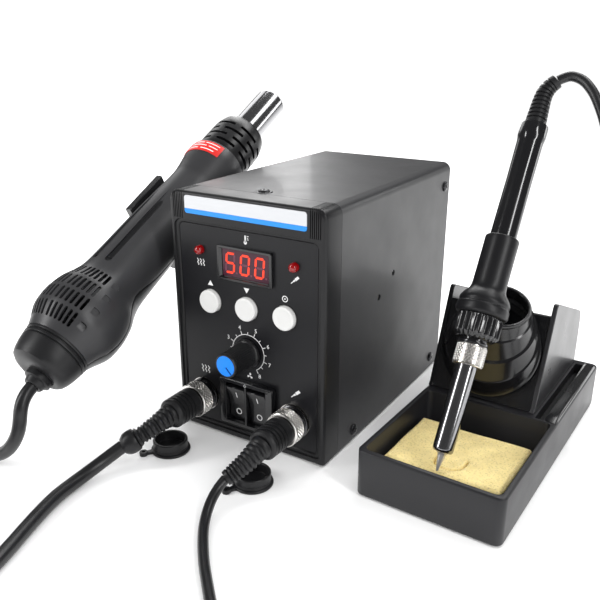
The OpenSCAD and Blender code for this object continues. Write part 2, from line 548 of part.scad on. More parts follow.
// A tube through a row of points, each [x, y, z, radius], closed at both ends
function unit(v) = v / norm(v);
function heading(path, i) = unit(path[min(i + 1, len(path) - 1)] - path[max(i - 1, 0)]);
function side_of(d) = unit(cross(d, abs(d[2]) > 0.9 ? [0, 1, 0] : [0, 0, 1]));
function carried(path, i) = i == 0 ? side_of(heading(path, 0)) :
  let (d = heading(path, i), before = carried(path, i - 1)) unit(before - (before * d) * d);
module swept(points, sides) {
  path = [for (p = points) [p[0], p[1], p[2]]];
  n = len(path);
  rings = [for (i = [0 : n - 1]) let (d = heading(path, i), a = carried(path, i), b = cross(d, a))
    for (k = [0 : sides - 1]) path[i] + points[i][3] * (cos(360 * k / sides) * a + sin(360 * k / sides) * b)];
  walls = [for (i = [0 : n - 2], k = [0 : sides - 1]) let (k2 = (k + 1) % sides)
    [i * sides + k, (i + 1) * sides + k, (i + 1) * sides + k2, i * sides + k2]];
  start = [for (k = [0 : sides - 1]) k];
  finish = [for (k = [sides - 1 : -1 : 0]) (n - 1) * sides + k];
  polyhedron(rings, concat(walls, [start, finish]), convexity = 8);
}
module cord(points, d) swept([for (p = points) [p[0], p[1], p[2], d / 2]], 10);
module coil(at, r, d) translate([at[0], at[1], 0.1]) rotate_extrude() translate([(r[0] + r[1]) / 2, d])
  rounded_2d(r[1] - r[0] + d, 2 * d, d * 0.4);
module hot_air_cord() color([0.07, 0.07, 0.07]) at_station() {
  cord(air_cord_out, air_cord_d);
  cord(air_cord_back, air_cord_d);
}
module hot_air_coil() color([0.07, 0.07, 0.07]) at_station() coil(air_coil_at, air_coil_r, air_cord_d);
module iron_cord() color([0.07, 0.07, 0.07]) at_station() {
  cord(iron_cord_out, iron_cord_d);
  cord(iron_cord_back, iron_cord_d);
}
module iron_coil() color([0.07, 0.07, 0.07]) at_station() coil(iron_coil_at, iron_coil_r, iron_cord_d);

case_cover();
chassis_base();
rear_panel();
front_bezel();
control_panel();
badge_plate();
display_frame();
display_window();
display_module();
indicator_leds();
button_up();
button_down();
button_set();
air_knob();
knob_cap();
potentiometer();
switch_housing();
rocker_hot_air();
rocker_iron();
panel_sockets();
socket_nuts();
coupling_ring_left();
coupling_ring_right();
plug_left();
plug_right();
plug_boots();
dust_caps();
control_board();
main_board();
transformer();
power_inlet();
fuse_holder();
rubber_feet();
fixing_screws();
gun_cradle();
gun_shell_upper();
gun_shell_lower();
gun_collar();
nozzle_tube();
gun_heater();
fan_impeller();
fan_motor();
gun_end_cap();
gun_label();
iron_tip();
iron_barrel();
barrel_nut();
iron_collar();
iron_grip();
iron_handle();
iron_boot();
stand_tray();
stand_holder();
stand_funnel();
cleaning_sponge();
hot_air_cord();
hot_air_coil();
iron_cord();
iron_coil();
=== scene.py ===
"""The looks of a benchtop rework set: a station, a hot air gun in its cradle, and an iron on its stand."""
import json
import math
import random

import bmesh
import bpy
from mathutils import Matrix, Vector


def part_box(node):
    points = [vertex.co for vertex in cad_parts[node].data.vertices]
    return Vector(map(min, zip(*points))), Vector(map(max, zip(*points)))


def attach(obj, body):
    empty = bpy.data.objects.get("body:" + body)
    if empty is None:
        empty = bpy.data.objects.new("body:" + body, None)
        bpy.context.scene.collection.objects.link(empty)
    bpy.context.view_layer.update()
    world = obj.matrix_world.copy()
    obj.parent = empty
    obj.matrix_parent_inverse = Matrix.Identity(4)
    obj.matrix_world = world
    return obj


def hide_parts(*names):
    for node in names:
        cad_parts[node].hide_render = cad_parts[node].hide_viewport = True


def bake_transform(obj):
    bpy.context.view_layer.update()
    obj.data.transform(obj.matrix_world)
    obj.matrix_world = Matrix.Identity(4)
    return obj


MM = 0.001
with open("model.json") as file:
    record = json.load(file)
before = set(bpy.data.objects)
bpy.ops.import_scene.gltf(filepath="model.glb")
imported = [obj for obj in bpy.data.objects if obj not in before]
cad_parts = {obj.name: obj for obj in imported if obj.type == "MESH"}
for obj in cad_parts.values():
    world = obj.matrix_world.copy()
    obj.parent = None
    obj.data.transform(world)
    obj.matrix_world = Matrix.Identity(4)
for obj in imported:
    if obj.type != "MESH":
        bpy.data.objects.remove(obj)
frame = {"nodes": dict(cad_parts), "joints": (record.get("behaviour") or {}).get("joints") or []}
nodes = frame["nodes"]
joints = {j["name"]: j for j in frame["joints"]}
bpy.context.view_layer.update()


# --- Local frames, in millimetres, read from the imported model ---

def middle(node):
    """The middle of a CAD node's box."""
    low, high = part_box(node)
    return (low + high) / 2 / MM


def axes_frame(origin, x, y, z):
    """A frame with its origin and its three axes."""
    m = Matrix((x, y, z)).transposed().to_4x4()
    m.translation = origin
    return m


STATION = Matrix.Translation((middle("front_bezel").x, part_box("front_bezel")[0].y / MM, 0))
# (u, v, w) is right, up and out of the station's front
FRONT = STATION @ Matrix.Rotation(math.pi / 2, 4, "X")

gun_axis = Vector(joints["fan_spin"]["axis"])
gun_down = -Vector(joints["gun_lift"]["axis"])
FAN_AT = 30
GUN = axes_frame(Vector(joints["fan_spin"]["pos_m"]) / MM - FAN_AT * gun_axis, Vector((1, 0, 0)), gun_down, gun_axis)

iron_axis = Vector(joints["nut_turn"]["axis"])
iron_side = Vector((iron_axis.y, -iron_axis.x, 0)).normalized()
IRON = axes_frame(Vector(joints["nut_turn"]["pos_m"]) / MM, iron_side, iron_axis.cross(iron_side), iron_axis)

TRAY = Vector((74, 165, 26))
STAND_TURN = math.radians(-2.3)
tray_middle = middle("stand_tray")
STAND = (Matrix.Translation((tray_middle.x, tray_middle.y, 0)) @ Matrix.Rotation(STAND_TURN, 4, "Z")
         @ Matrix.Translation((-TRAY.x / 2, -TRAY.y / 2, 0)))


def at(x=0.0, y=0.0, z=0.0):
    return Matrix.Translation((x, y, z))


def turn(degrees, axis):
    return Matrix.Rotation(math.radians(degrees), 4, axis)


# --- Shapes: points in millimetres, and faces ---

class Shape:
    """A mesh that is gathered part by part in a local frame."""

    def __init__(self):
        self.points = []
        self.faces = []

    def add(self, points, faces, move=None):
        base = len(self.points)
        move = move or Matrix.Identity(4)
        self.points += [move @ Vector(p) for p in points]
        self.faces += [tuple(base + i for i in face) for face in faces]
        return self

    def loft(self, rings, loop=False, move=None):
        """Walls from ring to ring, closed into a loop or capped at both ends."""
        n = len(rings[0])
        last = len(rings) if loop else len(rings) - 1
        faces = []
        for i in range(last):
            a, b = i * n, (i + 1) % len(rings) * n
            faces += [(a + k, a + (k + 1) % n, b + (k + 1) % n, b + k) for k in range(n)]
        if not loop:
            faces += [tuple(reversed(range(n))), tuple((len(rings) - 1) * n + k for k in range(n))]
        return self.add([p for ring in rings for p in ring], faces, move)

    def lathe(self, profile, sides=64, loop=False, move=None):
        """Turns a profile of (radius, height) round +Z."""
        return self.loft([wheel(sides, z, r) for r, z in profile], loop, move)

    def block(self, low, high, move=None):
        """A box between two corners."""
        (x0, y0, z0), (x1, y1, z1) = low, high
        rings = [[(x0, y0, z), (x1, y0, z), (x1, y1, z), (x0, y1, z)] for z in (z0, z1)]
        return self.loft(rings, move=move)

    def prism(self, outline, z0, z1, move=None):
        """An outline raised from one height to another."""
        return self.loft([[(x, y, z) for x, y in outline] for z in (z0, z1)], move=move)

    def ribbon(self, path, width, z0, z1, loop=False, move=None):
        """A flat line of one width along a path in the plane."""
        left, right = [], []
        n = len(path)
        for i, (x, y) in enumerate(path):
            x0, y0 = path[i - 1] if i or loop else path[0]
            x1, y1 = path[(i + 1) % n] if i < n - 1 or loop else path[-1]
            d = math.hypot(x1 - x0, y1 - y0)
            side = (-(y1 - y0) / d * width / 2, (x1 - x0) / d * width / 2)
            left.append((x + side[0], y + side[1]))
            right.append((x - side[0], y - side[1]))
        rings = [[(*a, z0), (*b, z0), (*b, z1), (*a, z1)] for a, b in zip(left, right)]
        return self.loft(rings, loop, move)


def spread(count):
    """Angles shared out evenly round a circle."""
    return [2 * math.pi * k / count for k in range(count)]


def wheel(sides, z, radius):
    """A ring round +Z, whose radius is a number or a function of a point's place in it."""
    at_point = radius if callable(radius) else lambda j: radius
    return [(at_point(j) * math.cos(a), at_point(j) * math.sin(a), z) for j, a in enumerate(spread(sides))]


def arc(x, y, r, start, end, count=12):
    """Points on an arc, with its angles in degrees."""
    angles = [math.radians(start + (end - start) * k / count) for k in range(count + 1)]
    return [(x + r * math.cos(a), y + r * math.sin(a)) for a in angles]


def rounded(x0, x1, y0, y1, low_r, high_r=None, count=7):
    """A rectangle with rounded corners, of one radius below and another above."""
    high_r = low_r if high_r is None else high_r
    return (arc(x0 + low_r, y0 + low_r, low_r, 180, 270, count)
            + arc(x1 - low_r, y0 + low_r, low_r, 270, 360, count)
            + arc(x1 - high_r, y1 - high_r, high_r, 0, 90, count)
            + arc(x0 + high_r, y1 - high_r, high_r, 90, 180, count))


def rounded_ring(x0, x1, y0, y1, z, low_r, high_r=None, count=7):
    """A rounded rectangle at one height, for a loft."""
    return [(x, y, z) for x, y in rounded(x0, x1, y0, y1, low_r, high_r, count)]


def smooth_path(points, steps=6):
    """A Catmull-Rom curve through points of any dimension."""
    out = []
    for i in range(len(points) - 1):
        p0, p1 = points[max(i - 1, 0)], points[i]
        p2, p3 = points[i + 1], points[min(i + 2, len(points) - 1)]
        for k in range(steps):
            t = k / steps
            out.append(tuple(0.5 * (2 * b + (c - a) * t + (2 * a - 5 * b + 4 * c - d) * t * t
                                    + (3 * b - a - 3 * c + d) * t ** 3) for a, b, c, d in zip(p0, p1, p2, p3)))
    return out + [tuple(points[-1])]


def sweep_rings(path, r, sides):
    """Rings of one radius along a path, without twist."""
    path = [Vector(p[:3]) for p in path]
    rings, side = [], None
    for i, p in enumerate(path):
        ahead = (path[min(i + 1, len(path) - 1)] - path[max(i - 1, 0)]).normalized()
        if side is None:
            side = ahead.cross(Vector((0, 0, 1)) if abs(ahead.z) < 0.9 else Vector((0, 1, 0)))
        side = (side - side.dot(ahead) * ahead).normalized()
        other = ahead.cross(side)
        rings.append([p + r * (math.cos(a) * side + math.sin(a) * other) for a in spread(sides)])
    return rings


# --- Pieces ---

def raw_object(name, shape, place):
    """A Blender object of a shape, in metres in the shared frame."""
    mesh = bpy.data.meshes.new(name)
    mesh.from_pydata([(place @ p) * MM for p in shape.points], [], shape.faces)
    bm = bmesh.new()
    bm.from_mesh(mesh)
    bmesh.ops.remove_doubles(bm, verts=bm.verts, dist=1e-7)
    bmesh.ops.recalc_face_normals(bm, faces=bm.faces)
    bm.to_mesh(mesh)
    bm.free()
    piece = bpy.data.objects.new(name, mesh)
    bpy.context.scene.collection.objects.link(piece)
    return piece


def carve(piece, cutter, place):
    """Cuts a shape out of a piece, for good."""
    tool = raw_object("cutter", cutter, place)
    cut = piece.modifiers.new("cut", "BOOLEAN")
    cut.object = tool
    cut.solver = "EXACT"
    cut.use_self = True
    baked = bpy.data.meshes.new_from_object(piece.evaluated_get(bpy.context.evaluated_depsgraph_get()))
    piece.modifiers.clear()
    piece.data = baked
    bpy.data.objects.remove(tool)


def round_edges(piece, width, angle, segments=2):
    """Rounds the edges that are sharper than an angle."""
    edge = piece.modifiers.new("edges", "BEVEL")
    edge.width = width * MM
    edge.segments = segments
    edge.limit_method = "ANGLE"
    edge.angle_limit = math.radians(angle)
    edge.use_clamp_overlap = True
    return edge


def soften(piece, bevel=0.0, angle=32, segments=2):
    """Rounds a piece's edges and shades it smooth between its creases."""
    if bevel:
        round_edges(piece, bevel, angle, segments).miter_outer = "MITER_ARC"
    for face in piece.data.polygons:
        face.use_smooth = True
    piece.data.set_sharp_from_angle(angle=math.radians(angle))


def make(name, shape, place, body, material, replaces=(), bevel=0.0, angle=32, cut=None, segments=2):
    """Builds a piece, gives it its finish and hangs it on its body."""
    piece = raw_object(name, shape, place)
    if cut:
        carve(piece, cut, place)
    piece.data.materials.clear()
    piece.data.materials.append(material)
    soften(piece, bevel, angle, segments)
    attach(piece, body)
    if replaces:
        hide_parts(*replaces)
    return piece


def dress(node, material, bevel=0.0, angle=32):
    """Gives a CAD node its material, and rounds its edges."""
    piece = nodes[node]
    piece.data.materials.clear()
    piece.data.materials.append(material)
    if bevel:
        round_edges(piece, bevel, angle)


# --- Materials ---

def add_node(tree, kind, **values):
    """A shader node with its inputs set: an underscore in a name stands for a space."""
    node = tree.nodes.new("ShaderNode" + kind)
    for name, value in values.items():
        node.inputs[name.replace("_", " ")].default_value = value
    return node


def finish(name, colour, rough, metal=0.0, spread_by=0.12, grain=700, bump=0.1, depth=0.03, coat=0.0,
           stretch=(1, 1, 1), glow=None, rough_by=0.08, patch=60, specular=0.5):
    """A surface with a fine grain in its relief, and slow drifts in its colour and gloss."""
    mat = bpy.data.materials.new(name)
    mat.use_nodes = True
    tree = mat.node_tree
    link = tree.links.new
    shader = tree.nodes["Principled BSDF"]
    where = add_node(tree, "TexCoord")
    mapping = add_node(tree, "Mapping", Scale=stretch)
    link(where.outputs["Object"], mapping.inputs["Vector"])
    fine = add_node(tree, "TexNoise", Scale=grain, Detail=4)
    slow = add_node(tree, "TexNoise", Scale=patch, Detail=5)
    for noise in (fine, slow):
        link(mapping.outputs["Vector"], noise.inputs["Vector"])
    tint = add_node(tree, "MixRGB", Color1=(*[c * (1 - spread_by) for c in colour], 1),
                    Color2=(*[min(c * (1 + spread_by), 1) for c in colour], 1))
    gloss = add_node(tree, "MapRange", To_Min=max(rough - rough_by, 0.02), To_Max=min(rough + rough_by, 1))
    relief = add_node(tree, "Bump", Strength=bump, Distance=depth * MM)
    link(slow.outputs["Fac"], tint.inputs["Fac"])
    link(tint.outputs["Color"], shader.inputs["Base Color"])
    link(slow.outputs["Fac"], gloss.inputs["Value"])
    link(gloss.outputs["Result"], shader.inputs["Roughness"])
    link(fine.outputs["Fac"], relief.inputs["Height"])
    link(relief.outputs["Normal"], shader.inputs["Normal"])
    constants = {"Metallic": metal, "Coat Weight": coat, "Coat Roughness": 0.08, "Specular IOR Level": specular}
    if glow:
        constants |= {"Emission Color": (*glow[0], 1), "Emission Strength": glow[1]}
    for socket, value in constants.items():
        shader.inputs[socket].default_value = value
    return mat


paint = finish("satin black paint", (0.016, 0.016, 0.018), 0.44, grain=1500, bump=0.22, depth=0.03, coat=0.08)
moulding = finish("fine black moulding", (0.008, 0.008, 0.009), 0.38, grain=2600, bump=0.25, depth=0.02,
                  specular=0.32)
film = finish("printed panel film", (0.007, 0.007, 0.0085), 0.34, grain=1800, bump=0.10, depth=0.01, specular=0.28)
print_white = finish("white print", (0.70, 0.70, 0.70), 0.5, grain=3000, bump=0.05, depth=0.01, spread_by=0.05)
badge_silver = finish("badge silver", (0.56, 0.57, 0.59), 0.38, metal=0.2, grain=4000, bump=0.08, depth=0.005,
                      stretch=(0.05, 1, 1), spread_by=0.06)
badge_blue = finish("badge blue", (0.0, 0.22, 0.68), 0.30, grain=2500, bump=0.05, depth=0.01, spread_by=0.05)
smoke = finish("display window", (0.040, 0.004, 0.016), 0.12, grain=900, bump=0.02, depth=0.005, specular=0.35)
lit = finish("lit segment", (0.30, 0.02, 0.005), 0.4, grain=2000, bump=0.05, depth=0.01,
             glow=((1.0, 0.035, 0.006), 1.1))
unlit = finish("unlit segment", (0.11, 0.022, 0.045), 0.35, grain=2000, bump=0.05, depth=0.01)
led = finish("red lens", (0.20, 0.001, 0.002), 0.10, grain=900, bump=0.03, depth=0.01, coat=0.6,
             glow=((0.6, 0.0, 0.0), 0.05))
white = finish("white key", (0.62, 0.62, 0.61), 0.32, grain=1600, bump=0.06, depth=0.015, spread_by=0.04)
knob_black = finish("knob plastic", (0.008, 0.008, 0.009), 0.33, grain=2200, bump=0.15, depth=0.02)
cap_blue = finish("blue cap", (0.0, 0.20, 0.80), 0.32, grain=2200, bump=0.08, depth=0.015, spread_by=0.06)
switch_gloss = finish("switch plastic", (0.006, 0.006, 0.007), 0.20, grain=1500, bump=0.06, depth=0.01, coat=0.3)
plated = finish("bright plating", (0.78, 0.76, 0.73), 0.20, metal=1.0, grain=1600, bump=0.10, depth=0.01,
                spread_by=0.08)
knurled = finish("knurled plating", (0.84, 0.82, 0.79), 0.24, metal=1.0, grain=2500, bump=0.15, depth=0.01)
gunmetal = finish("dark plating", (0.16, 0.16, 0.165), 0.22, metal=1.0, grain=1600, bump=0.08, depth=0.01)
soft_rubber = finish("satin rubber", (0.009, 0.009, 0.010), 0.42, grain=1600, bump=0.22, depth=0.025, specular=0.38)
jacket = finish("cord jacket", (0.009, 0.009, 0.010), 0.36, grain=900, bump=0.16, depth=0.03, spread_by=0.2)
board_green = finish("solder mask", (0.012, 0.11, 0.035), 0.35, grain=1200, bump=0.15, depth=0.03, coat=0.3)
core_iron = finish("varnished core", (0.16, 0.13, 0.09), 0.45, grain=3000, bump=0.5, depth=0.1, stretch=(0.1, 1, 0.1))
zinc = finish("zinc sheet", (0.62, 0.63, 0.64), 0.35, metal=1.0, grain=300, bump=0.05, depth=0.02, spread_by=0.1)
gun_grey = finish("gun's upper shell", (0.027, 0.027, 0.029), 0.38, grain=2400, bump=0.28, depth=0.025)
gun_black = finish("gun's lower shell", (0.006, 0.006, 0.007), 0.33, grain=2400, bump=0.25, depth=0.02)
steel = finish("polished tube", (0.36, 0.36, 0.37), 0.14, metal=1.0, grain=500, bump=0.02, depth=0.005, rough_by=0.03,
               spread_by=0.03)
barrel_steel = finish("dark polished barrel", (0.30, 0.30, 0.31), 0.17, metal=1.0, grain=800, bump=0.03, depth=0.01,
                      rough_by=0.05)
tip_metal = finish("plated tip", (0.66, 0.64, 0.62), 0.34, metal=0.7, grain=1500, bump=0.12, depth=0.01,
                   spread_by=0.2)
mica = finish("mica and wire", (0.62, 0.54, 0.38), 0.6, grain=900, bump=0.4, depth=0.05)
label_red = finish("red label", (0.60, 0.014, 0.010), 0.32, grain=1800, bump=0.05, depth=0.01, spread_by=0.06)
iron_gloss = finish("gloss handle", (0.006, 0.006, 0.007), 0.16, grain=600, bump=0.05, depth=0.01, coat=0.5)
grip_rubber = finish("silicone grip", (0.007, 0.007, 0.008), 0.36, grain=1500, bump=0.2, depth=0.02, specular=0.34)
stand_grey = finish("stand's tray", (0.015, 0.015, 0.017), 0.38, grain=2000, bump=0.25, depth=0.025, specular=0.36)
# A lighter copy of the stand's own plastic for the right cheek: painted light, where a lamp lights that cheek
painted_light_cheek = finish("stand's right cheek with painted light", (0.024, 0.024, 0.026), 0.30, grain=2000, bump=0.1, depth=0.01, coat=0.12)
cradle_gloss = finish("cradle plastic", (0.014, 0.014, 0.015), 0.22, grain=1800, bump=0.08, depth=0.015, coat=0.4)
stand_black = finish("stand's holder", (0.006, 0.006, 0.007), 0.24, grain=1800, bump=0.12, depth=0.02, coat=0.2)
screw_black = finish("black zinc", (0.035, 0.035, 0.038), 0.28, metal=0.8, grain=1500, bump=0.15, depth=0.02)
foot_rubber = finish("foot rubber", (0.02, 0.02, 0.02), 0.7, grain=1200, bump=0.4, depth=0.05)
socket_black = finish("moulded black", (0.02, 0.02, 0.021), 0.4, grain=1500, bump=0.2, depth=0.03)
brass_pin = finish("contact pin", (0.72, 0.62, 0.38), 0.25, metal=1.0, grain=1500, bump=0.1, depth=0.01)


# --- Camera ---

def studio_camera():
    """The view from the front right, a little above."""
    data = bpy.data.cameras.new("camera")
    data.lens = 43.03
    data.sensor_width = 36
    camera = bpy.data.objects.new("camera", data)
    bpy.context.scene.collection.objects.link(camera)
    camera.location = (STATION @ Vector((208.5, -280.1, 213.3))) * MM
    looking = Vector((-0.49703, 0.79577, -0.34600))
    camera.rotation_euler = looking.to_track_quat("-Z", "Y").to_euler()
    bpy.context.scene.camera = camera


studio_camera()


# --- Plugs, on the cords' ends ---

SOCKET_X, SOCKET_Z = 29.7, 23


def facing(x, z, y=0.0):
    """A frame whose +Z comes out of the station's front at (x, z)."""
    return FRONT @ at(x, z, -y)


def knurled_sleeve(radius, low, high, bore, lip, lip_bore, teeth=28, rows=3, depth=0.85):
    """A sleeve with a diamond knurl between two plain bands."""
    around, along = teeth * 6, rows * 6
    band = ((0, 0.5), (0.25, 0.15), (0.6, 0.1), (0.75, depth))

    def knurl(k):
        def at_point(j):
            u, v = j / around * teeth, k / along * rows
            ridge = max(abs((u + v) % 1 - 0.5), abs((u - v) % 1 - 0.5)) * 2
            return radius - depth * max(ridge - 0.45, 0) / 0.55
        return at_point

    levels = [(low + rise, radius - drop) for rise, drop in band]
    levels += [(low + 0.9 + (high - low - 1.8) * k / along, knurl(k)) for k in range(along + 1)]
    levels += [(high - rise, radius - drop) for rise, drop in reversed(band)]
    levels += [(high, lip_bore), (high - lip, lip_bore), (high - lip, bore), (low, bore)]
    return Shape().loft([wheel(around, z, r) for z, r in levels], loop=True)


def plug_body():
    """A ribbed rubber plug behind a plain neck: heights run out of the panel."""
    profile = [(5.6, -4), (6.4, -3.4), (6.4, 5.2), (7.7, 5.2), (7.7, 6.3), (6.8, 6.3), (6.8, 12.4), (7.9, 12.4),
               (8.25, 12.8), (8.35, 15.5), (8.3, 17.4)]
    rib = ((8.3, 0), (7.5, 0.25), (7.5, 0.85), (8.25, 1.1), (8.3, 1.8))
    for k in range(4):
        profile += [(r - 0.05 * k, 17.6 + 2.6 * k + z) for r, z in rib]
    profile += [(8.1, 28.3), (7.4, 29.3), (6.4, 29.8), (5.4, 30)]
    return Shape().lathe(profile, 72)


def ring_skirt():
    """The ring's darker foot, with two fine grooves."""
    profile = [(7.98, 0.8), (9.0, 0.8), (9.2, 1.0), (9.2, 1.7), (8.75, 1.9), (8.75, 2.3), (9.2, 2.5), (9.2, 3.1),
               (8.75, 3.3), (8.75, 3.7), (9.2, 3.9), (9.2, 4.4), (9.0, 4.7), (7.98, 4.7)]
    return Shape().lathe(profile, 80, loop=True)


# The boots' routes, with a radius at each point
boot_left = [(-29.7, -29.6, 23, 6.3), (-30.6, -35.5, 22, 5.5), (-33, -41.5, 19.4, 5.0), (-36, -46.5, 16.6, 4.7),
             (-37.2, -48.2, 15.7, 5.9), (-38.6, -50.3, 14.4, 6.3), (-40.2, -52.4, 13.3, 5.8), (-41.5, -54, 12.5, 4.2)]
boot_right = [(29.7, -29.6, 23, 6.2), (29, -35, 21.4, 5.6), (27, -40.5, 18, 5.2), (24.2, -45, 14.8, 4.7),
              (21.6, -48.6, 12.4, 3.7)]


def ribbed_boot(points, ribbed_until, pitch=2.1, steps=9):
    """A boot that bends with its cord: ribs as far as a share of its length, and plain rubber after."""
    fine = smooth_path(points, steps)
    run = 0.0
    shaped = []
    for i, (ring, p) in enumerate(zip(sweep_rings(fine, 1.0, 28), fine)):
        run += (Vector(p[:3]) - Vector(fine[i - 1][:3])).length if i else 0
        wave = (run / pitch) % 1
        groove = 0.75 if wave < 0.36 and 1.5 < run and i / len(fine) < ribbed_until else 0.0
        centre = Vector(p[:3])
        shaped.append([centre + (q - centre) * (p[3] - groove) for q in ring])
    return Shape().loft(shaped)


for side, x, route, ribs in (("left", -SOCKET_X, boot_left, 0.55), ("right", SOCKET_X, boot_right, 0.86)):
    make(f"plug_body_{side}", plug_body(), facing(x, SOCKET_Z), "root", soft_rubber,
         [f"plug_{side}"], angle=24)
    make(f"plug_boot_{side}", ribbed_boot(route, ribs), STATION, "root", soft_rubber,
         ["plug_boots"] if side == "left" else [], angle=50)
    make(f"knurled_ring_{side}", knurled_sleeve(9.6, 4.6, 12, 7.98, 5.4, 6.86), facing(x, SOCKET_Z), f"ring_{side}",
         knurled, [f"coupling_ring_{side}"], angle=40)
    make(f"ring_skirt_{side}", ring_skirt(), facing(x, SOCKET_Z), f"ring_{side}", gunmetal, angle=30)


# --- Cords: the same points as in the part's source, in the station's frame ---

AIR_D, IRON_D = 7, 5
air_out = [(-41.5, -54, 12.5), (-44, -59.5, 9.8), (-46.4, -66, 7), (-48, -74, 4.8), (-48.4, -83, 3.7),
           (-47, -94, 3.6), (-43.6, -106, 3.6), (-39, -119, 3.6), (-34.5, -131, 3.6), (-31, -143, 3.6),
           (-31, -156, 3.6), (-36, -170, 3.6), (-45, -182, 3.6), (-63.5, -196.5, 3.6)]
air_back = [(-141.3, -156, 10.6), (-142, -142, 8.6), (-140, -128, 6), (-136, -115, 4.2), (-129, -103, 3.6),
            (-118, -95, 3.6), (-107, -90, 4.4), (-98, -88, 7), (-91, -87.4, 11.4), (-85.5, -87, 17.2),
            (-81.5, -86.3, 23.8), (-79.4, -85.6, 30.5), (-79, -84.4, 36.6), (-79.4, -82, 41),
            (-79.8, -78.8, 43.9), (-80, -75.3, 45.9)]
iron_out = [(21.6, -48.6, 12.4), (20.6, -53, 9.6), (21, -59, 6.6), (23.4, -66, 4), (28, -74, 2.7),
            (34.6, -82.5, 2.6), (43, -92, 2.6), (52, -101, 2.6), (62, -110.5, 2.6), (74, -120.5, 2.6),
            (90, -131, 2.6), (108, -139.5, 2.6), (126, -147, 2.6), (141.7, -150.9, 2.6)]
iron_back = [(182, -120, 7.6), (184, -104, 6), (189, -86, 3.4), (195, -66, 2.6), (200.6, -44, 2.6),
             (204, -20, 2.6), (204.6, 4, 2.6), (202, 26, 3.4), (197, 44, 8.6), (190.6, 59, 20),
             (184, 71, 37), (177, 81.5, 60), (169.6, 91, 88), (161.6, 99, 118), (153, 104.6, 146),
             (144.6, 108.4, 170.6), (138.4, 110.9, 183), (134, 113, 188.6), (129.4, 115, 192.2),
             (124, 116.2, 193.8), (120.2, 115.7, 192.9), (117.6, 114.9, 191.6)]


def coil_turns(centre, outer, d, start, end, turns):
    """A coil of two layers: spirals in along the bottom, climbs, and spirals out on top. Angles in degrees."""
    way = 1 if turns > 0 else -1
    sweep = math.radians(end - start) + 2 * math.pi * turns
    count = round(abs(sweep) / (2 * math.pi) * 20)
    half = abs(sweep) / (4 * math.pi)
    climb = 0.12
    out = []
    for k in range(1, count):
        t = k / count
        depth = half * (1 - abs(2 * t - 1))
        r = outer - d * depth
        rise = min(max((t - 0.5 + climb / 2) / climb, 0), 1)
        z = d / 2 + 0.1 + d * rise * rise * (3 - 2 * rise)
        a = math.radians(start) + sweep * t
        out.append((centre[0] + r * math.cos(a), centre[1] + r * math.sin(a), z))
    return out


def cord_piece(name, route, d):
    """A mesh tube along the whole route."""

    fine = smooth_path(route, 3)
    tube = raw_object(f"{name}_lead", Shape().loft(sweep_rings(fine, d / 2, 20)), STATION)
    tube.data.materials.append(jacket)
    soften(tube)
    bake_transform(tube)
    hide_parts(f"{name}_cord", f"{name}_coil")


air_route = air_out + coil_turns((-96, -164), 46, AIR_D, -45, 170 - 360, -3) + air_back
iron_route = iron_out + coil_turns((150, -120), 32, IRON_D, -105, 0, 3) + iron_back
cord_piece("hot_air", air_route, AIR_D)
cord_piece("iron", iron_route, IRON_D)


# --- The station's case ---

CASE_W, CASE_H, BEZEL_D = 96, 138, 15
PANEL_Y = 1.6


def front_frame():
    """The moulded front: an outer shell that steps down twice to the control panel."""
    levels = ((48, 0.4, 138, 1.5, 5, -BEZEL_D), (48, 0.4, 138, 1.5, 5, -2.2), (47.8, 0.6, 137.8, 1.5, 4.9, -1.2),
              (47.2, 1.2, 137.2, 1.5, 4.6, -0.4), (46.3, 2.1, 136.4, 1.5, 4, 0), (45.4, 4.0, 123.0, 2.6, 4.6, 0),
              (45.1, 4.3, 122.7, 2.5, 4.4, -0.9), (43.6, 5.8, 121.4, 2.2, 3.7, -0.95),
              (43.1, 6.3, 120.9, 2, 3.4, -1.5), (43.1, 6.3, 120.9, 2, 3.4, -4.9),
              (45.5, 3.2, 130, 2, 4, -4.9), (45.5, 3.2, 130, 2, 4, -BEZEL_D))
    shape = Shape().loft([rounded_ring(-half, half, low, high, w, low_r, high_r)
                          for half, low, high, low_r, high_r, w in levels], loop=True)
    shape.block((-9, 132, -25), (9, 136.7, -14))
    cut = Shape().prism(rounded(-37.5, 37.5, 126.35, 136.05, 1.6), -0.6, 1)
    for side in (-1, 1):
        for k in range(6):
            x = side * (39.3 + 1.12 * k)
            cut.block((x - 0.27, 123.4, -0.55), (x + 0.27, 140, 1))
            cut.block((x - 0.27, 137.5, -16), (x + 0.27, 140, -0.54))
    return shape, cut


shape, cut = front_frame()
make("front_frame", shape, FRONT, "root", moulding, ["front_bezel"], cut=cut, angle=28)
dress("case_cover", paint, 0.25, 50)
dress("rear_panel", paint, 0.2, 50)
dress("chassis_base", zinc)
dress("control_panel", film, 0.15)


def badge():
    """A silver plate whose lower quarter is blue."""
    seam_y, half = 129.0, 37.4
    edge = rounded(-half, half, 126.45, 135.95, 1.5)
    seam = [(half, seam_y), (-half, seam_y)]
    top = seam[::-1] + [p for p in edge if p[1] > seam_y]
    bottom = [p for p in edge if p[1] < seam_y] + seam
    return Shape().prism(top, -0.6, 0.2), Shape().prism(bottom, -0.6, 0.2)


silver, blue = badge()
make("badge_silver_plate", silver, FRONT, "root", badge_silver, ["badge_plate"], bevel=0.12)
make("badge_blue_stripe", blue, FRONT, "root", badge_blue, bevel=0.12)


# --- Screws: a pan head with a cross recess ---

def screw_shape():
    """A pan head on its shank, and the cross that is cut into it."""
    head = Shape().lathe([(1.5, -6), (1.5, 0.01), (3.2, 0.01), (3.2, 0.35), (2.95, 0.8), (2.4, 1.18), (1.5, 1.38),
                          (0.4, 1.42)], 40)
    cross = Shape()
    for a in (0, 90):
        cross.block((-1.75, -0.32, 0.45), (1.75, 0.32, 2), turn(a, "Z"))
    return head, cross


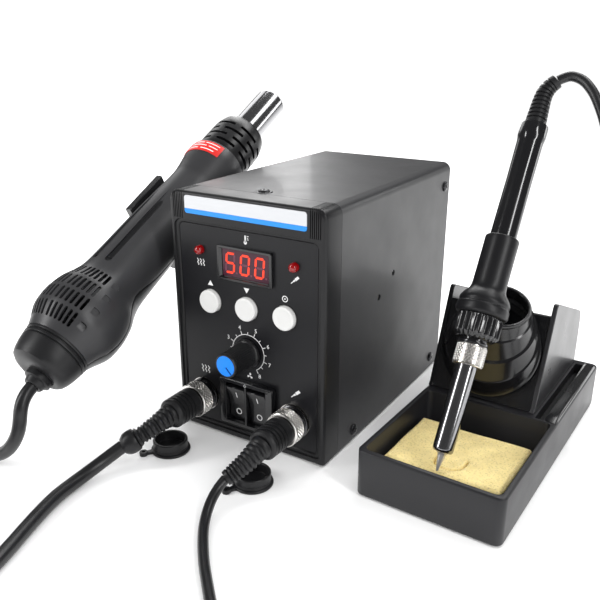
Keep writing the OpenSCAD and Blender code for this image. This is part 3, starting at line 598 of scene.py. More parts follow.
SIDE_SCREWS = ((33, 7), (143, 8.5), (149, 124))
CRADLE_SCREW_S, CRADLE_SCREW_Q = (124, 144), 41
places = [STATION @ at(side * CASE_W / 2, y, z) @ turn(90 * side, "Y") @ turn(17 * i + 20, "Z")
          for side in (-1, 1) for i, (y, z) in enumerate(SIDE_SCREWS)]
places.append(STATION @ at(0, 19, CASE_H) @ turn(30, "Z"))
places += [GUN @ at(28, CRADLE_SCREW_Q, s) @ turn(-90, "Y") @ turn(s, "Z") for s in CRADLE_SCREW_S]
for i, place in enumerate(places):
    head, cross = screw_shape()
    make(f"pan_screw_{i + 1}", head, place, "root", screw_black,
         ["fixing_screws"] if i == 0 else [], cut=cross, angle=30)
washer = Shape().lathe([(1.7, -0.1), (4.6, -0.1), (4.6, 0.0), (4.2, 0.25), (3.3, 0.3), (1.7, 0.3)], 40, loop=True)
make("top_screw_washer", washer, STATION @ at(0, 19, CASE_H), "root", screw_black)


# --- Display and lights ---

DISPLAY_Z = 103.2


def display_surround():
    """A bevelled rim round the window, and the thin wall behind it."""
    levels = ((16.9, 9.2, 0.9, -1.7), (17, 9.3, 0.9, 0.25), (16.75, 9.05, 0.8, 0.6), (15.7, 8.0, 0.5, 0.6),
              (14.7, 7.5, 0.3, -0.7), (14.6, 7.45, 0.3, -1.7), (14.6, 7.45, 0.3, -7), (15.4, 8.2, 0.3, -7),
              (15.4, 8.2, 0.3, -1.7))
    return Shape().loft([rounded_ring(-half_x, half_x, DISPLAY_Z - half_y, DISPLAY_Z + half_y, w, r)
                         for half_x, half_y, r, w in levels], loop=True)


make("display_surround", display_surround(), FRONT, "root", switch_gloss, ["display_frame"],
     angle=25)
dress("display_window", smoke)

SEGMENTS = {"a": ((-1, 2), (1, 2)), "b": ((1, 2), (1, 0)), "c": ((1, 0), (1, -2)), "d": ((-1, -2), (1, -2)),
            "e": ((-1, 0), (-1, -2)), "f": ((-1, 2), (-1, 0)), "g": ((-1, 0), (1, 0))}
LIT = {"5": "afgcd", "0": "abcdef"}


def display_digits(text, on):
    """Seven-segment figures, either the lit segments or the dark ones."""
    shape = Shape()
    half_w, quarter_h, slant, thick, gap = 2.5, 2.55, 0.08, 1.2, 0.22
    for k, figure in enumerate(text):
        x0 = (k - 1) * 9.2 - 0.3
        for name, ends in SEGMENTS.items():
            if (name in LIT[figure]) != on:
                continue
            (xa, ya), (xb, yb) = [(px * half_w, py * quarter_h) for px, py in ends]
            d = math.hypot(xb - xa, yb - ya)
            ux, uy = (xb - xa) / d, (yb - ya) / d
            bar = []
            for along, across in ((gap, 0), (gap + 0.55, 0.5), (d - gap - 0.55, 0.5), (d - gap, 0),
                                  (d - gap - 0.55, -0.5), (gap + 0.55, -0.5)):
                x = xa + ux * along - uy * across * thick
                y = ya + uy * along + ux * across * thick
                bar.append((x0 + x + slant * y, DISPLAY_Z + y))
            shape.prism(bar, 0, 0.06)
        if not on:
            shape.prism(arc(x0 + 4.0, DISPLAY_Z - 4.9, 0.6, 0, 330, 11), 0, 0.06)
    return shape


for name, on, look in (("digits_lit", True, lit), ("digits_dark", False, unlit)):
    make(name, display_digits("500", on), facing(0, 0, 1.0), "root", look)

for side, x in (("left", -29.5), ("right", 29.5)):
    lens = [(2.9, -4.6), (2.9, -3.6), (2.5, -3.6), (2.5, -0.7), (2.42, 0.2), (2.15, 0.95), (1.65, 1.5), (0.95, 1.85),
            (0.25, 1.95)]
    make(f"status_light_{side}", Shape().lathe(lens, 48), facing(x, 107.3), "root", led,
         ["indicator_leds"] if side == "left" else [], angle=40)


# --- Print on the panel: plain signs and the dial's numbers ---

INK = 0.05


def circle_path(r, x=0.0, y=0.0, count=20):
    return [(x + u, y + v) for u, v, _ in wheel(count, 0, r)]


def sign_heat(shape, x, y, k=1.0):
    """Three rising waves."""
    for j in (-1, 0, 1):
        wave = [(x + k * (1.9 * j + 0.45 * math.sin(t * 1.3)), y + k * (0.42 * t - 1.9)) for t in range(10)]
        shape.ribbon(wave, 0.42 * k, 0, INK)


def sign_iron(shape, x, y, k=1.0):
    """A slanted iron with its tip down."""
    shape.ribbon([(x - 2.2 * k, y - 1.9 * k), (x - 0.7 * k, y - 0.6 * k)], 0.4 * k, 0, INK)
    shape.ribbon([(x - 0.7 * k, y - 0.6 * k), (x + 0.1 * k, y + 0.1 * k)], 0.9 * k, 0, INK)
    shape.ribbon([(x + 0.3 * k, y + 0.3 * k), (x + 2.3 * k, y + 2.0 * k)], 1.35 * k, 0, INK)


def sign_triangle(shape, x, y, up):
    """A triangle that points up (1) or down (-1)."""
    shape.prism([(x - 1.8, y - up * 1.3), (x + 1.8, y - up * 1.3), (x, y + up * 1.5)][::int(up)], 0, INK)


def sign_target(shape, x, y):
    """A ring with a dot."""
    shape.ribbon(circle_path(1.5, x, y), 0.45, 0, INK, loop=True)
    shape.prism(circle_path(0.45, x, y, 10), 0, INK)


def sign_thermometer(shape, x, y):
    """A bulb, a tube and three ticks."""
    shape.prism(circle_path(1.0, x, y - 1.5, 16), 0, INK)
    shape.ribbon([(x, y - 1.5), (x, y + 2.2)], 0.8, 0, INK)
    for k in range(3):
        shape.ribbon([(x + 1.0, y + 0.1 + k * 0.9), (x + 2.2 - 0.3 * (k % 2), y + 0.1 + k * 0.9)], 0.3, 0, INK)


def sign_fan(shape, x, y):
    """Three blades."""
    blade = [(0.3, -0.25), (1.2, -0.9), (1.9, -0.3), (1.7, 0.35), (0.3, 0.25)]
    for k in range(3):
        shape.prism(blade, 0, INK, at(x, y) @ turn(90 + 120 * k, "Z"))


def sign_power(shape, x, y, k=1.0):
    """An open ring with a stroke through its gap."""
    shape.ribbon(arc(x, y, 1.1 * k, 125, 415, 20), 0.3 * k, 0, INK)
    shape.ribbon([(x, y + 0.2 * k), (x, y + 1.5 * k)], 0.3 * k, 0, INK)


def number(shape, text, x, y, size):
    """A figure from Blender's own font."""
    curve = bpy.data.curves.new("figure", "FONT")
    curve.body, curve.size, curve.extrude = text, size, INK / 2
    curve.align_x, curve.align_y, curve.resolution_u = "CENTER", "CENTER", 3
    holder = bpy.data.objects.new("figure", curve)
    bpy.context.scene.collection.objects.link(holder)
    bpy.context.view_layer.update()
    mesh = bpy.data.meshes.new_from_object(holder.evaluated_get(bpy.context.evaluated_depsgraph_get()))
    shape.add([v.co + Vector((x, y, INK / 2)) for v in mesh.vertices], [tuple(f.vertices) for f in mesh.polygons])
    bpy.data.objects.remove(holder)


DIAL_Z, BUTTON_X, BUTTON_Z = 54.5, 23.7, 79.5


def panel_print():
    """All the white print: a sign beside each light, key, knob and socket, and the dial."""
    shape = Shape()
    sign_thermometer(shape, 0, 116.8)
    sign_heat(shape, -29.5, 100.4)
    sign_iron(shape, 29.5, 100.4)
    sign_triangle(shape, -BUTTON_X, 89.6, 1)
    sign_triangle(shape, 0, 89.6, -1)
    sign_target(shape, BUTTON_X, 89.6)
    sign_fan(shape, 0.8, 41.0)
    sign_heat(shape, -29.7, 37.8, 1.15)
    sign_iron(shape, 29.7, 37.8, 1.15)
    dial_r, number_r, line, ticks = 10.3, 14.3, 0.36, 14
    shape.ribbon(arc(0, DIAL_Z, dial_r, 240, -60, 60), line, 0, INK)
    for k in range(ticks + 1):
        a = math.radians(240 - 300 * k / ticks)
        numbered = k % 2 == 0
        tick = [(r * math.cos(a), DIAL_Z + r * math.sin(a)) for r in (dial_r, 12.5 if numbered else 11.8)]
        shape.ribbon(tick, line, 0, INK)
        if numbered:
            number(shape, str(k // 2 + 1), number_r * math.cos(a), DIAL_Z + number_r * math.sin(a), 3.3)
    return shape


make("panel_signs", panel_print(), facing(0, 0, PANEL_Y), "root", print_white)


# --- Buttons and the air knob ---

def key_cap():
    return Shape().lathe([(1.8, -8.4), (1.8, -6.2), (7.6, -6.2), (7.6, -5), (6.45, -5), (6.45, 0.05), (6.36, 0.45),
                          (6.05, 0.75), (5.5, 0.9), (5.2, 0.86), (4.9, 0.78), (2.5, 0.86), (0.2, 0.88)], 72)


for node, x in (("button_up", -BUTTON_X), ("button_down", 0), ("button_set", BUTTON_X)):
    make(f"{node}_cap", key_cap(), facing(x, BUTTON_Z), node, white, [node], angle=28)


def fluted(levels, flutes, sides_each, dip):
    """Rings of (radius, height, share of the flutes' depth); dip gives the depth at a place in one flute."""
    return [wheel(flutes * sides_each, z, lambda j: r - share * dip(j % sides_each)) for r, z, share in levels]


def knob_body():
    """A tapered knob with fine flutes round its grip."""
    levels = ((5.6, 2.1, 0), (5.6, -0.7, 0), (8.0, -0.7, 0), (8.2, -0.4, 0), (8.2, 0.9, 0), (7.9, 1.5, 0),
              (7.35, 1.9, 0), (7.25, 2.6, 0), (7.2, 3.2, 1), (6.65, 16.2, 1), (6.6, 16.9, 0), (6.5, 17.9, 0),
              (6.2, 18.4, 0), (5.75, 18.5, 0), (5.7, 17.6, 0))
    rings = fluted(levels, 40, 4, lambda place: 0.32 if place in (1, 2) else 0)
    return Shape().loft(rings).lathe([(3, -6.6), (3, 2.0)], 32)


make("air_knob_body", knob_body(), facing(0, DIAL_Z), "knob", knob_black, ["air_knob"], angle=35)
cap = Shape().lathe([(5.5, 17.65), (5.62, 17.8), (5.62, 18.45), (5.45, 18.62), (5.1, 18.7), (0.2, 18.72)], 64)
groove = Shape().block((0.6, -0.5, 18.2), (7, 0.5, 20), turn(-48, "Z"))
make("blue_cap", cap, facing(0, DIAL_Z), "knob", cap_blue, ["knob_cap"], cut=groove, angle=30)
needle = Shape().block((0.65, -0.46, 18.1), (5.45, 0.46, 18.26), turn(-48, "Z"))
make("knob_pointer", needle, facing(0, DIAL_Z), "knob", knob_black, bevel=0.05)
dress("potentiometer", zinc)


# --- The two power switches ---

SWITCH_Z, ROCKER_X, ROCKER_PIVOT_Y, ROCKER_REST = 24, 6.9, 6, 10


def switch_frame():
    """One bezel for both rockers, with a well behind each and a shallow step under its strip."""
    levels = ((15, 11.5, 36.5, 0.4, -17), (15, 11.5, 36.5, 0.4, -1.7), (17.3, 10.2, 37.8, 1.2, -1.65),
              (17.5, 10, 38, 1.3, -1.3), (17.5, 10, 38, 1.3, 1.5), (17.1, 10.4, 37.6, 1.2, 2.2),
              (16.4, 11.1, 36.9, 1.0, 2.4))
    body = Shape().loft([rounded_ring(-half, half, low, high, w, r) for half, low, high, r, w in levels])
    cut = Shape()
    for side in (-1, 1):
        x = side * ROCKER_X
        cut.block((x - 6.3, 12.2, -14.5), (x + 6.3, 35.4, 5))
    cut.block((-14.6, 35.2, 1.7), (14.6, 35.6, 4))
    return body, cut


body, cut = switch_frame()
make("switch_frame", body, FRONT, "root", switch_gloss, ["switch_housing"], cut=cut, angle=28,
     bevel=0.1)
strip = Shape().prism(rounded(-13.5, 13.5, 35.75, 37.3, 0.3), 2.3, 2.46)
make("switch_strip", strip, FRONT, "root", film)
power_sign = Shape()
sign_power(power_sign, 0, 36.3, 0.62)
make("switch_sign", power_sign, facing(0, 0, -2.46), "root", print_white)


def rocker_shape():
    """A rocker seen from its side: two faces that are a little hollow, meeting in a soft V."""
    front = [(-7.0 + 0.3 * abs(math.sin(math.pi * t / 6)) + 1.6 * (1 - abs(1 - t / 6)), 10.6 - 21.2 * t / 12)
             for t in range(13)]
    outline_yz = front + [(1.8, -10.3), (5, -3), (5, 3), (1.8, 10.3)]
    rings = [[(x, y, z) for y, z in outline_yz] for x in (-6, 6)]
    shape = Shape().loft(rings)
    pin = turn(90, "Y")
    return shape.lathe([(1.45, -6.7), (1.45, 6.7)], 24, move=pin)


for node, x in (("rocker_hot_air", -ROCKER_X), ("rocker_iron", ROCKER_X)):
    hinge = STATION @ at(x, ROCKER_PIVOT_Y, SWITCH_Z) @ turn(ROCKER_REST, "X")
    make(f"{node}_key", rocker_shape(), hinge, node, switch_gloss, [node], bevel=0.35, angle=40)
    for name, z, tilt in (("on", 5.6, 98.0), ("off", -5.6, 82.0)):
        mark = Shape()
        if name == "on":
            mark.ribbon([(0, -1.9), (0, 1.9)], 0.6, -0.3, 0.12)
        else:
            mark.ribbon(circle_path(1.6, count=28), 0.55, -0.3, 0.12, loop=True)
        make(f"{node}_mark_{name}", mark, hinge @ at(0, -5.9, z) @ turn(tilt, "X"), node, print_white)


# --- Sockets and dust caps ---

dress("panel_sockets", plated, 0.15)
dress("socket_nuts", plated, 0.2)


def dust_cap():
    """A grooved rubber cup that lies open, with an eye on a short strap."""
    cup = [(0.3, 0.0), (10.2, 0), (10.6, 0.4), (10.6, 1.2), (10.2, 1.6), (9.5, 1.7), (9.4, 2.2), (9.15, 2.6),
           (9.15, 3.0), (9.4, 3.3), (9.4, 6.5), (9.1, 6.95), (8.3, 7.0), (8.0, 6.6), (8.0, 1.6), (0.3, 1.6)]
    shape = Shape().lathe(cup, 72, loop=True)
    shape.lathe([(2.2, 0), (2.2, 2.2), (0.9, 2.2), (0.9, 0)], 28, loop=True, move=at(15))
    return shape.prism([(9.8, -1.5), (13.2, -1.2), (13.2, 1.2), (9.8, 1.5)], 0.1, 1.7)


for name, x, y, a in (("left", -32.5, -28, -125), ("right", 24, -30, -115)):
    make(f"dust_cap_{name}", dust_cap(), STATION @ at(x, y, 0) @ turn(a, "Z"), "root", soft_rubber,
         ["dust_caps"] if name == "left" else [], angle=32, bevel=0.12)


# --- The back and the inside ---

dress("power_inlet", socket_black, 0.4)
dress("rubber_feet", foot_rubber, 0.4)
dress("display_module", socket_black)
dress("control_board", board_green)
dress("main_board", board_green)
dress("transformer", core_iron, 0.3)
pin_shape = Shape()
for x, z in ((-6.8, 31.4), (0, 27.8), (6.8, 31.4)):
    pin_shape.block((x - 0.9, 148.8, z - 1.9), (x + 0.9, 156.4, z + 1.9))
make("inlet_pins", pin_shape, STATION, "root", brass_pin, bevel=0.3)
cap = Shape().lathe([(6, -28.8), (6, -1.3), (8, -1.2), (8, 0.6), (7.4, 1.3), (6.4, 1.6), (0.2, 1.6)], 56)
slot = Shape().block((-5, -0.8, 0.5), (5, 0.8, 3))
make("fuse_cap", cap, STATION @ at(30, 157, 30) @ turn(-90, "X"), "root", socket_black,
     ["fuse_holder"], cut=slot, angle=30)


# --- The hot air gun ---

# The shell's radius, and how far below the axis its halves meet, at distances from the cord's end
shell_curve = smooth_path(((14, 18.9), (18, 20.6), (25, 24.0), (31, 25.0), (38, 24.9), (46, 23.4), (53, 20.8),
                           (60, 19.2), (72, 18.6), (105, 18.0), (140, 16.6), (150, 17.0), (160, 18.6), (166, 19.2),
                           (172, 18.6)), 6)
parting_curve = smooth_path(((14, 8.5), (22, 9.5), (32, 11), (41, 9.5), (49, 4), (57, 1.5), (66, 3), (78, 6.5),
                             (100, 8), (172, 8)), 8)


def along_curve(curve, s):
    """The value of a curve of (distance, value) points at one distance."""
    for (s0, v0), (s1, v1) in zip(curve, curve[1:]):
        if s <= s1:
            return v0 + (v1 - v0) * (s - s0) / (s1 - s0)
    return curve[-1][1]


def shell_half(upper):
    """Half a shell with a wall of 2.2 mm, and a fine groove along its parting line."""
    wall, steps = 2.2, 50
    groove = ((0.008, 0.7), (0.016, 0.25), (0.026, 0.05))    # angle from the parting line, and depth
    fade = [f for _, f in groove] + [0] * (steps + 1) + [f for _, f in reversed(groove)]
    rings = []
    for s, r in shell_curve:
        edge = math.asin(along_curve(parting_curve, s) / r)
        start, end = (math.pi - edge, 2 * math.pi + edge) if upper else (edge, math.pi - edge)
        angles = [start + a for a, _ in groove]
        angles += [start + 0.04 + (end - start - 0.08) * k / steps for k in range(steps + 1)]
        angles += [end - a for a, _ in reversed(groove)]
        outer = [((r - f) * math.cos(a), (r - f) * math.sin(a), s) for a, f in zip(angles, fade)]
        inner = [((r - wall) * math.cos(a), (r - wall) * math.sin(a), s) for a in reversed(angles)]
        rings.append(outer + inner)
    return Shape().loft(rings)


def on_shell(s, angle):
    """A frame on the gun: +Z straight out at an angle, and +X towards the cord."""
    return at(0, 0, s) @ turn(angle, "Z") @ turn(90, "Y")


TOP, INLAY_AWAY = 270, 15    # where the gun's top is round its axis, and its channels' angle from there
vents = Shape()
for side in (-1, 1):
    for row in range(4):
        s = 22.6 + 9.6 * row
        slot = rounded(-3.9, 3.9, -0.85, 0.85, 0.84, count=4)
        for k in range(6):
            vents.prism(slot, 14, 32, on_shell(s, TOP + side * (5 + 7.2 * k)))
        r = along_curve(shell_curve, s)
        pocket = arc(0, 0, 1.9, 0, 180, 10) + [(-1.9, -2.4), (1.9, -2.4)]
        pocket_at = on_shell(s, TOP + side * 57) @ turn(0 if side > 0 else 180, "Z")
        vents.prism(pocket, r - 0.75, r + 4, pocket_at)
    vents.prism(rounded(-35, 35, -1.9, 1.9, 1.6, count=4), 17.05, 24, on_shell(98, TOP + side * INLAY_AWAY))
    for k in range(3):
        ridge = rounded(-4.5, 4.5, -0.3, 0.3, 0.29, count=3)
        vents.prism(ridge, 17.4, 24, on_shell(158, TOP + side * (92 + 4 * k)))
make("gun_top_shell", shell_half(True), GUN, "gun", gun_grey, ["gun_shell_upper"], cut=vents, angle=40)
make("gun_under_shell", shell_half(False), GUN, "gun", gun_black, ["gun_shell_lower"], angle=40)
for side, name in ((-1, "far"), (1, "near")):
    middle_a = math.radians(TOP + side * INLAY_AWAY)
    rings = []
    for s in range(66, 131, 4):
        r = along_curve(shell_curve, s) - 1.05
        section = [(0.5, w) for w in (-1, 0, 1)] + [(-0.5, w) for w in (1, 0, -1)]
        angles = [(r + lift, middle_a + 1.35 * w / r) for lift, w in section]
        rings.append([(rr * math.cos(a), rr * math.sin(a), s) for rr, a in angles])
    make(f"gun_inlay_{name}", Shape().loft(rings), GUN, "gun", gun_black, bevel=0.2)


def gun_cap():
    """The rubber end cap with its two grooves, its skirt and the cord's boss."""
    profile = [(3.4, -9), (4.6, -9), (5.0, -8.7), (5.9, -6.2), (6.9, -6), (7.4, -5.6), (7.4, -2.6), (8.6, -2.95),
               (12.6, -2.9), (14.1, -2.4), (15.5, -1.2), (16.6, 1.2), (17.5, 4.5), (18.2, 8.5), (18.3, 9.1),
               (17.7, 9.4), (17.7, 10.0), (18.45, 10.3), (18.6, 10.8), (18.5, 11.6), (17.9, 11.9), (17.9, 12.4),
               (18.7, 12.7), (18.85, 13.2), (18.8, 13.9), (17.5, 14), (14, 14), (14, -0.8), (3.4, -0.8)]
    rings = []
    for r, z in profile:
        boss = r < 9 and (z < -2 or r < 4)
        shift = 4.0 if boss else 2.2 if r < 13 and z < -2 else 0.6 if z < -2 else 0
        squeeze = 1 if r < 9 else 1 - shift / 18.8
        rings.append([(x, y * squeeze + shift, z) for x, y, _ in wheel(72, z, r)])
    return Shape().loft(rings, loop=True)


make("gun_rubber_cap", gun_cap(), GUN, "gun", soft_rubber, ["gun_end_cap"], angle=35)


def collar():
    """A rounded collar with four staggered rows of slots."""
    profile = [(10.35, 172.2), (16.2, 172.2), (16.9, 172.7), (17.2, 173.8), (17.25, 180), (17.1, 194),
               (16.9, 196.6), (16.3, 199.4), (15.6, 202), (15.1, 203.4), (14.4, 204), (10.35, 204), (10.35, 199),
               (14.1, 198), (14.6, 176), (10.35, 175)]
    cut = Shape()
    for row in range(4):
        for k in range(6):
            start, end = k * 60 + row * 30 - 23, k * 60 + row * 30 + 23
            cut.prism(arc(0, 0, 12.0, start, end, 4) + arc(0, 0, 19, end, start, 4), 177 + row * 5.4, 179 + row * 5.4)
    return Shape().lathe(profile, 96, loop=True), cut


shape, cut = collar()
make("gun_vented_collar", shape, GUN, "gun", gun_black, ["gun_collar"], cut=cut, angle=30, bevel=0.18)
tube = [(10.2, 204.2), (10.2, 240.9), (10.12, 241.5), (9.9, 241.8), (9.7, 241.6), (9.6, 241.2), (9.6, 176),
        (10.1, 176), (10.1, 204.2)]
make("hot_air_tube", Shape().lathe(tube, 96, loop=True), GUN, "gun", steel, ["nozzle_tube"], angle=40)
dress("gun_heater", mica)
dress("fan_impeller", gun_black)
dress("fan_motor", zinc)


def label_shape(inner, outer, s0, s1, a0, a1, steps):
    """A patch that follows the shell, between two distances along it and two angles round it."""
    ways = [k / 4 for k in range(5)]
    rings = []
    for k in range(steps + 1):
        a = math.radians(a0 + (a1 - a0) * k / steps)
        line = []
        for lift, w in [(outer, w) for w in ways] + [(inner, w) for w in reversed(ways)]:
            s = s0 + (s1 - s0) * w
            r = along_curve(shell_curve, s) + lift
            line.append((r * math.cos(a), r * math.sin(a), s))
        rings.append(line)
    return Shape().loft(rings)


make("gun_red_label", label_shape(0.0, 0.32, 161.5, 170.6, 222, 312, 36), GUN, "gun", label_red,
     ["gun_label"], bevel=0.1)
marks = ((230, 250, 168.7), (254, 272, 168.7), (276, 305, 168.7), (232, 244, 166), (248, 281, 166), (286, 304, 166),
         (235, 266, 163.4), (272, 300, 163.4))
for i, (a0, a1, s) in enumerate(marks):
    make(f"label_mark_{i + 1}", label_shape(0.28, 0.36, s - 0.32, s + 0.32, a0, a1, 10), GUN, "gun",
         print_white)


# --- The gun's cradle ---

def cradle():
    """A moulded saddle: an outer bar, a web under the gun, and a foot on the case."""
    floor_arc = arc(0, 0, 20.0, 180, 90, 16)
    outline_c = ([(-24.2, -10.2), (-23.9, -10.5), (-20.3, -10.5), (-20.0, -10.2)] + floor_arc
                 + arc(0, 0, 20.0, 84, 30, 12) + [(32, 10), (32, 36), (-10, 36), (-20, 30), (-24.2, 24)])
    body = Shape().prism(outline_c, 110, 143)
    foot = Shape().prism([(28, 20), (32, 20), (32, 50), (28, 50)], 112, 152)
    body.add(foot.points, foot.faces)
    cut = Shape().prism([(17.5, 6.0), (40, 6.0), (40, 11), (22, 16)], 100, 112)
    return body, cut


body, cut = cradle()
make("cradle_saddle", body, GUN, "root", cradle_gloss, ["gun_cradle"], bevel=1.1, segments=3, angle=40)


# --- The soldering iron ---

tip = [(0.12, 0.0), (0.4, 0.12), (0.62, 0.7), (1.9, 7.6), (2.15, 8.6), (2.6, 9.0), (3.2, 9.3), (3.3, 9.9), (3.3, 34),
       (0.12, 34)]
make("iron_cone_tip", Shape().lathe(tip, 64), IRON, "iron", tip_metal, ["iron_tip"], angle=40)
barrel = [(3.4, 9.4), (3.9, 9.3), (4.5, 9.6), (4.95, 10.3), (5.1, 11.4), (5.1, 54.4), (6.1, 54.6), (6.1, 56.4),
          (3.4, 56.4)]
make("iron_polished_barrel", Shape().lathe(barrel, 80, loop=True), IRON, "iron", barrel_steel,
     ["iron_barrel"], angle=35)
make("iron_knurled_nut", knurled_sleeve(7.5, 52.6, 63.2, 5.5, 6.2, 6.5, teeth=26, rows=4), IRON, "nut",
     knurled, ["barrel_nut"], angle=40)


def fluted_collar():
    """A stepped connector that opens into a collar with deep flutes."""
    sides_each = 8
    levels = ((3.6, 56.8, 0), (6.3, 56.8, 0), (6.4, 57.0, 0), (6.4, 63.2, 0), (7.0, 63.4, 0), (7.2, 63.7, 0),
              (7.2, 64.7, 0), (7.0, 65.0, 0), (6.4, 65.1, 0), (6.4, 66.0, 0), (8.8, 66.1, 0), (9.2, 66.3, 0.2),
              (11.0, 68.2, 0.7), (11.3, 68.8, 1), (11.3, 76.8, 1), (11.0, 77.3, 0.6), (10.8, 77.5, 0), (3.6, 77.5, 0))

    def dip(place):
        wave = (1 - math.cos(2 * math.pi * place / sides_each)) / 2
        return 0.95 * wave ** 0.6

    return Shape().loft(fluted(levels, 24, sides_each, dip), loop=True)


make("iron_fluted_collar", fluted_collar(), IRON, "iron", iron_gloss, ["iron_collar"], angle=40)
grip = smooth_path([(12.35, 78.4), (12.85, 79.3), (12.95, 81), (12.85, 82.6), (12.3, 83.4), (12.25, 83.9),
                    (12.55, 84.9), (12.2, 86.4), (10.9, 88.6), (9.3, 90.6), (8.6, 93), (8.45, 98), (8.45, 110),
                    (8.5, 117.6), (8.3, 118.7), (7.8, 119.2)], 4)
profile = [(6.7, 77.8), (11.6, 77.8)] + grip + [(6.7, 119.2)]
make("iron_soft_grip", Shape().lathe(profile, 96, loop=True), IRON, "iron", grip_rubber, ["iron_grip"],
     angle=40)
handle = [(6.4, 77.8), (6.4, 119), (6.65, 119.3), (6.6, 130), (6.5, 150), (6.6, 170.5), (6.75, 172.2), (7.05, 173.6),
          (7.1, 175), (7.1, 179.6), (6.9, 180.5), (6.3, 181), (3.4, 181), (3.4, 178.5), (0.2, 178.5), (0.2, 77.8)]
make("iron_long_handle", Shape().lathe(handle, 80), IRON, "iron", iron_gloss, ["iron_handle"], angle=35)
boot = [(0, 0, 181.05, 5.3), (0, 0, 184, 5.25), (0, 0, 189, 4.95), (0.05, 0, 195, 4.6), (0.6, 0, 199.4, 4.35),
        (2.3, 0, 203.1, 4.1), (4.8, 0, 206.1, 3.8)]
make("iron_bend_boot", ribbed_boot(boot, 0.93, pitch=2.3, steps=16), IRON, "iron", soft_rubber,
     ["iron_boot"], angle=50)


# --- The stand: the tray ---

def tray():
    """A solid tray with a shallow well for the sponge and a channel beside the holder."""
    def rings(x0, x1, y0, y1, r, levels):
        return [rounded_ring(x0 + inset, x1 - inset, y0 + inset, y1 - inset, z, r - inset, count=9)
                for inset, z in levels]

    shape = Shape().loft(rings(0, TRAY.x, 0, TRAY.y, 4, ((0.7, 1.0), (0.2, 1.25), (0, 1.8), (0, 24.9), (0.15, 25.5),
                                                         (0.5, 25.85), (1.0, 26))))
    cut = Shape().loft(rings(3.2, 70.8, 3.2, 77.2, 3, ((1.2, 4), (0.4, 4.3), (0.1, 5), (0, 25.2), (-0.25, 25.8),
                                                       (-0.7, 27))))
    cut.block((61.9, 79, 20), (66.4, 159, 27))
    cut.block((6, 86, -1), (64, 159, 18))
    return shape, cut


shape, cut = tray()
make("tray_body", shape, STAND, "root", stand_grey, ["stand_tray"], cut=cut, angle=35, bevel=0.25)
ridge = [(66.9, 25.9), (73.4, 25.9), (73.4, 26.6), (72.6, 27.6), (68.3, 27.9), (66.9, 27.2)]
ends = ((78, 1.6), (82, 0.4), (86, 0), (158, 0), (161, 1.6))
make("tray_ridge", Shape().loft([[(x, y, z - drop) for x, z in ridge] for y, drop in ends]), STAND, "root",
     stand_black, bevel=0.4)


# --- The stand: the holder and its funnel ---

HOLDER_Y, HOLDER_W, CHEEK_T, LEAN = 82, 60.5, 2.6, 22.7
FUNNEL_AT, MOUTH_AT = Vector((30.5, 92.5, 53.8)), Vector((36.6, 84.3, 81.6))
cheek = [(82, 26.1), (84, 28.5), (103.2, 78.4), (104.6, 80.4), (106.4, 80.3), (156.5, 61.4), (159.6, 59.8),
         (161.4, 57.4), (162, 54.5), (162, 26.1)]
# The right cheek wears the lighter copy of the stand's plastic, which is painted light on that side
for name, x0, slot, look, stands_for in (("left", 0, "stand_black", stand_black, ["stand_holder"]),
                                         ("right", HOLDER_W - CHEEK_T, "stand_grey", painted_light_cheek, [])):
    shape = Shape().loft([[(x, y, z) for y, z in cheek] for x in (x0, x0 + CHEEK_T)])
    make(f"holder_cheek_{name}", shape, STAND, "root", look, stands_for, bevel=0.5, segments=3)
plate_frame = at(HOLDER_W / 2, HOLDER_Y + 1.4, 27.8) @ turn(90 - LEAN, "X")
plate = Shape().prism([(-27.8, -1.6), (27.8, -1.6), (27.8, 47.5), (-27.8, 47.5)], -3, 0)
plate.prism([(-27.8, 44.5), (27.8, 44.5), (27.8, 49.6), (-27.8, 49.6)], -4.6, 0.35)
hole = Shape().lathe([(23, -40), (23, 40)], 64, move=at(*FUNNEL_AT) @ turn(90 - LEAN, "X"))
make("holder_plate", Shape().add(plate.points, plate.faces, plate_frame), STAND, "root", stand_black,
     bevel=0.35, angle=35, cut=hole)
make("holder_rear_bar", Shape().block((2.4, 159.2, 26.1), (58.1, 162, 52)), STAND, "root", stand_black,
     bevel=0.5)

flange_out = Vector((0, -0.9225, 0.386)).normalized()
mouth_out = Vector((0.2, -0.38, 0.9)).normalized()


def funnel():
    """A wide flange that narrows step by step to a thick-lipped mouth."""
    # Share of the way to the mouth, distance off the plate, radius
    levels = ((0, 0.4, 27.2), (0, 0.8, 27.4), (0, 2.2, 27.4), (0, 2.8, 27.0), (0.01, 3.0, 26.0), (0.1, 2.9, 25.3),
              (0.2, 2.7, 24.6), (0.22, 2.65, 24.6), (0.235, 2.6, 23.7), (0.47, 1.7, 21.2), (0.49, 1.65, 21.1),
              (0.505, 1.6, 19.7), (0.74, 0.85, 17.3), (0.755, 0.8, 17.2), (0.77, 0.75, 16.4), (0.95, 0.1, 15.1),
              (0.96, 0, 15.4), (0.985, 0, 15.55), (1.005, 0, 15.2), (1.01, 0, 14.5), (1.005, 0, 13.9),
              (0.985, 0, 13.6), (0.75, 0, 15.2), (0.48, 0, 18.0), (0.2, 0.2, 21.4), (0, 0.4, 22.8))
    rings = []
    for t, off, r in levels:
        n = ((1 - t) * flange_out + t * mouth_out).normalized()
        a = (Vector((1, 0, 0)) - n.x * n).normalized()
        b = n.cross(a)
        centre = (1 - t) * FUNNEL_AT + t * MOUTH_AT + off * flange_out
        rings.append([centre + r * (math.cos(k) * a + math.sin(k) * b) for k in spread(96)])
    return Shape().loft(rings, loop=True)


make("holder_funnel", funnel(), STAND, "root", stand_black, ["stand_funnel"], angle=30)


# --- The sponge ---

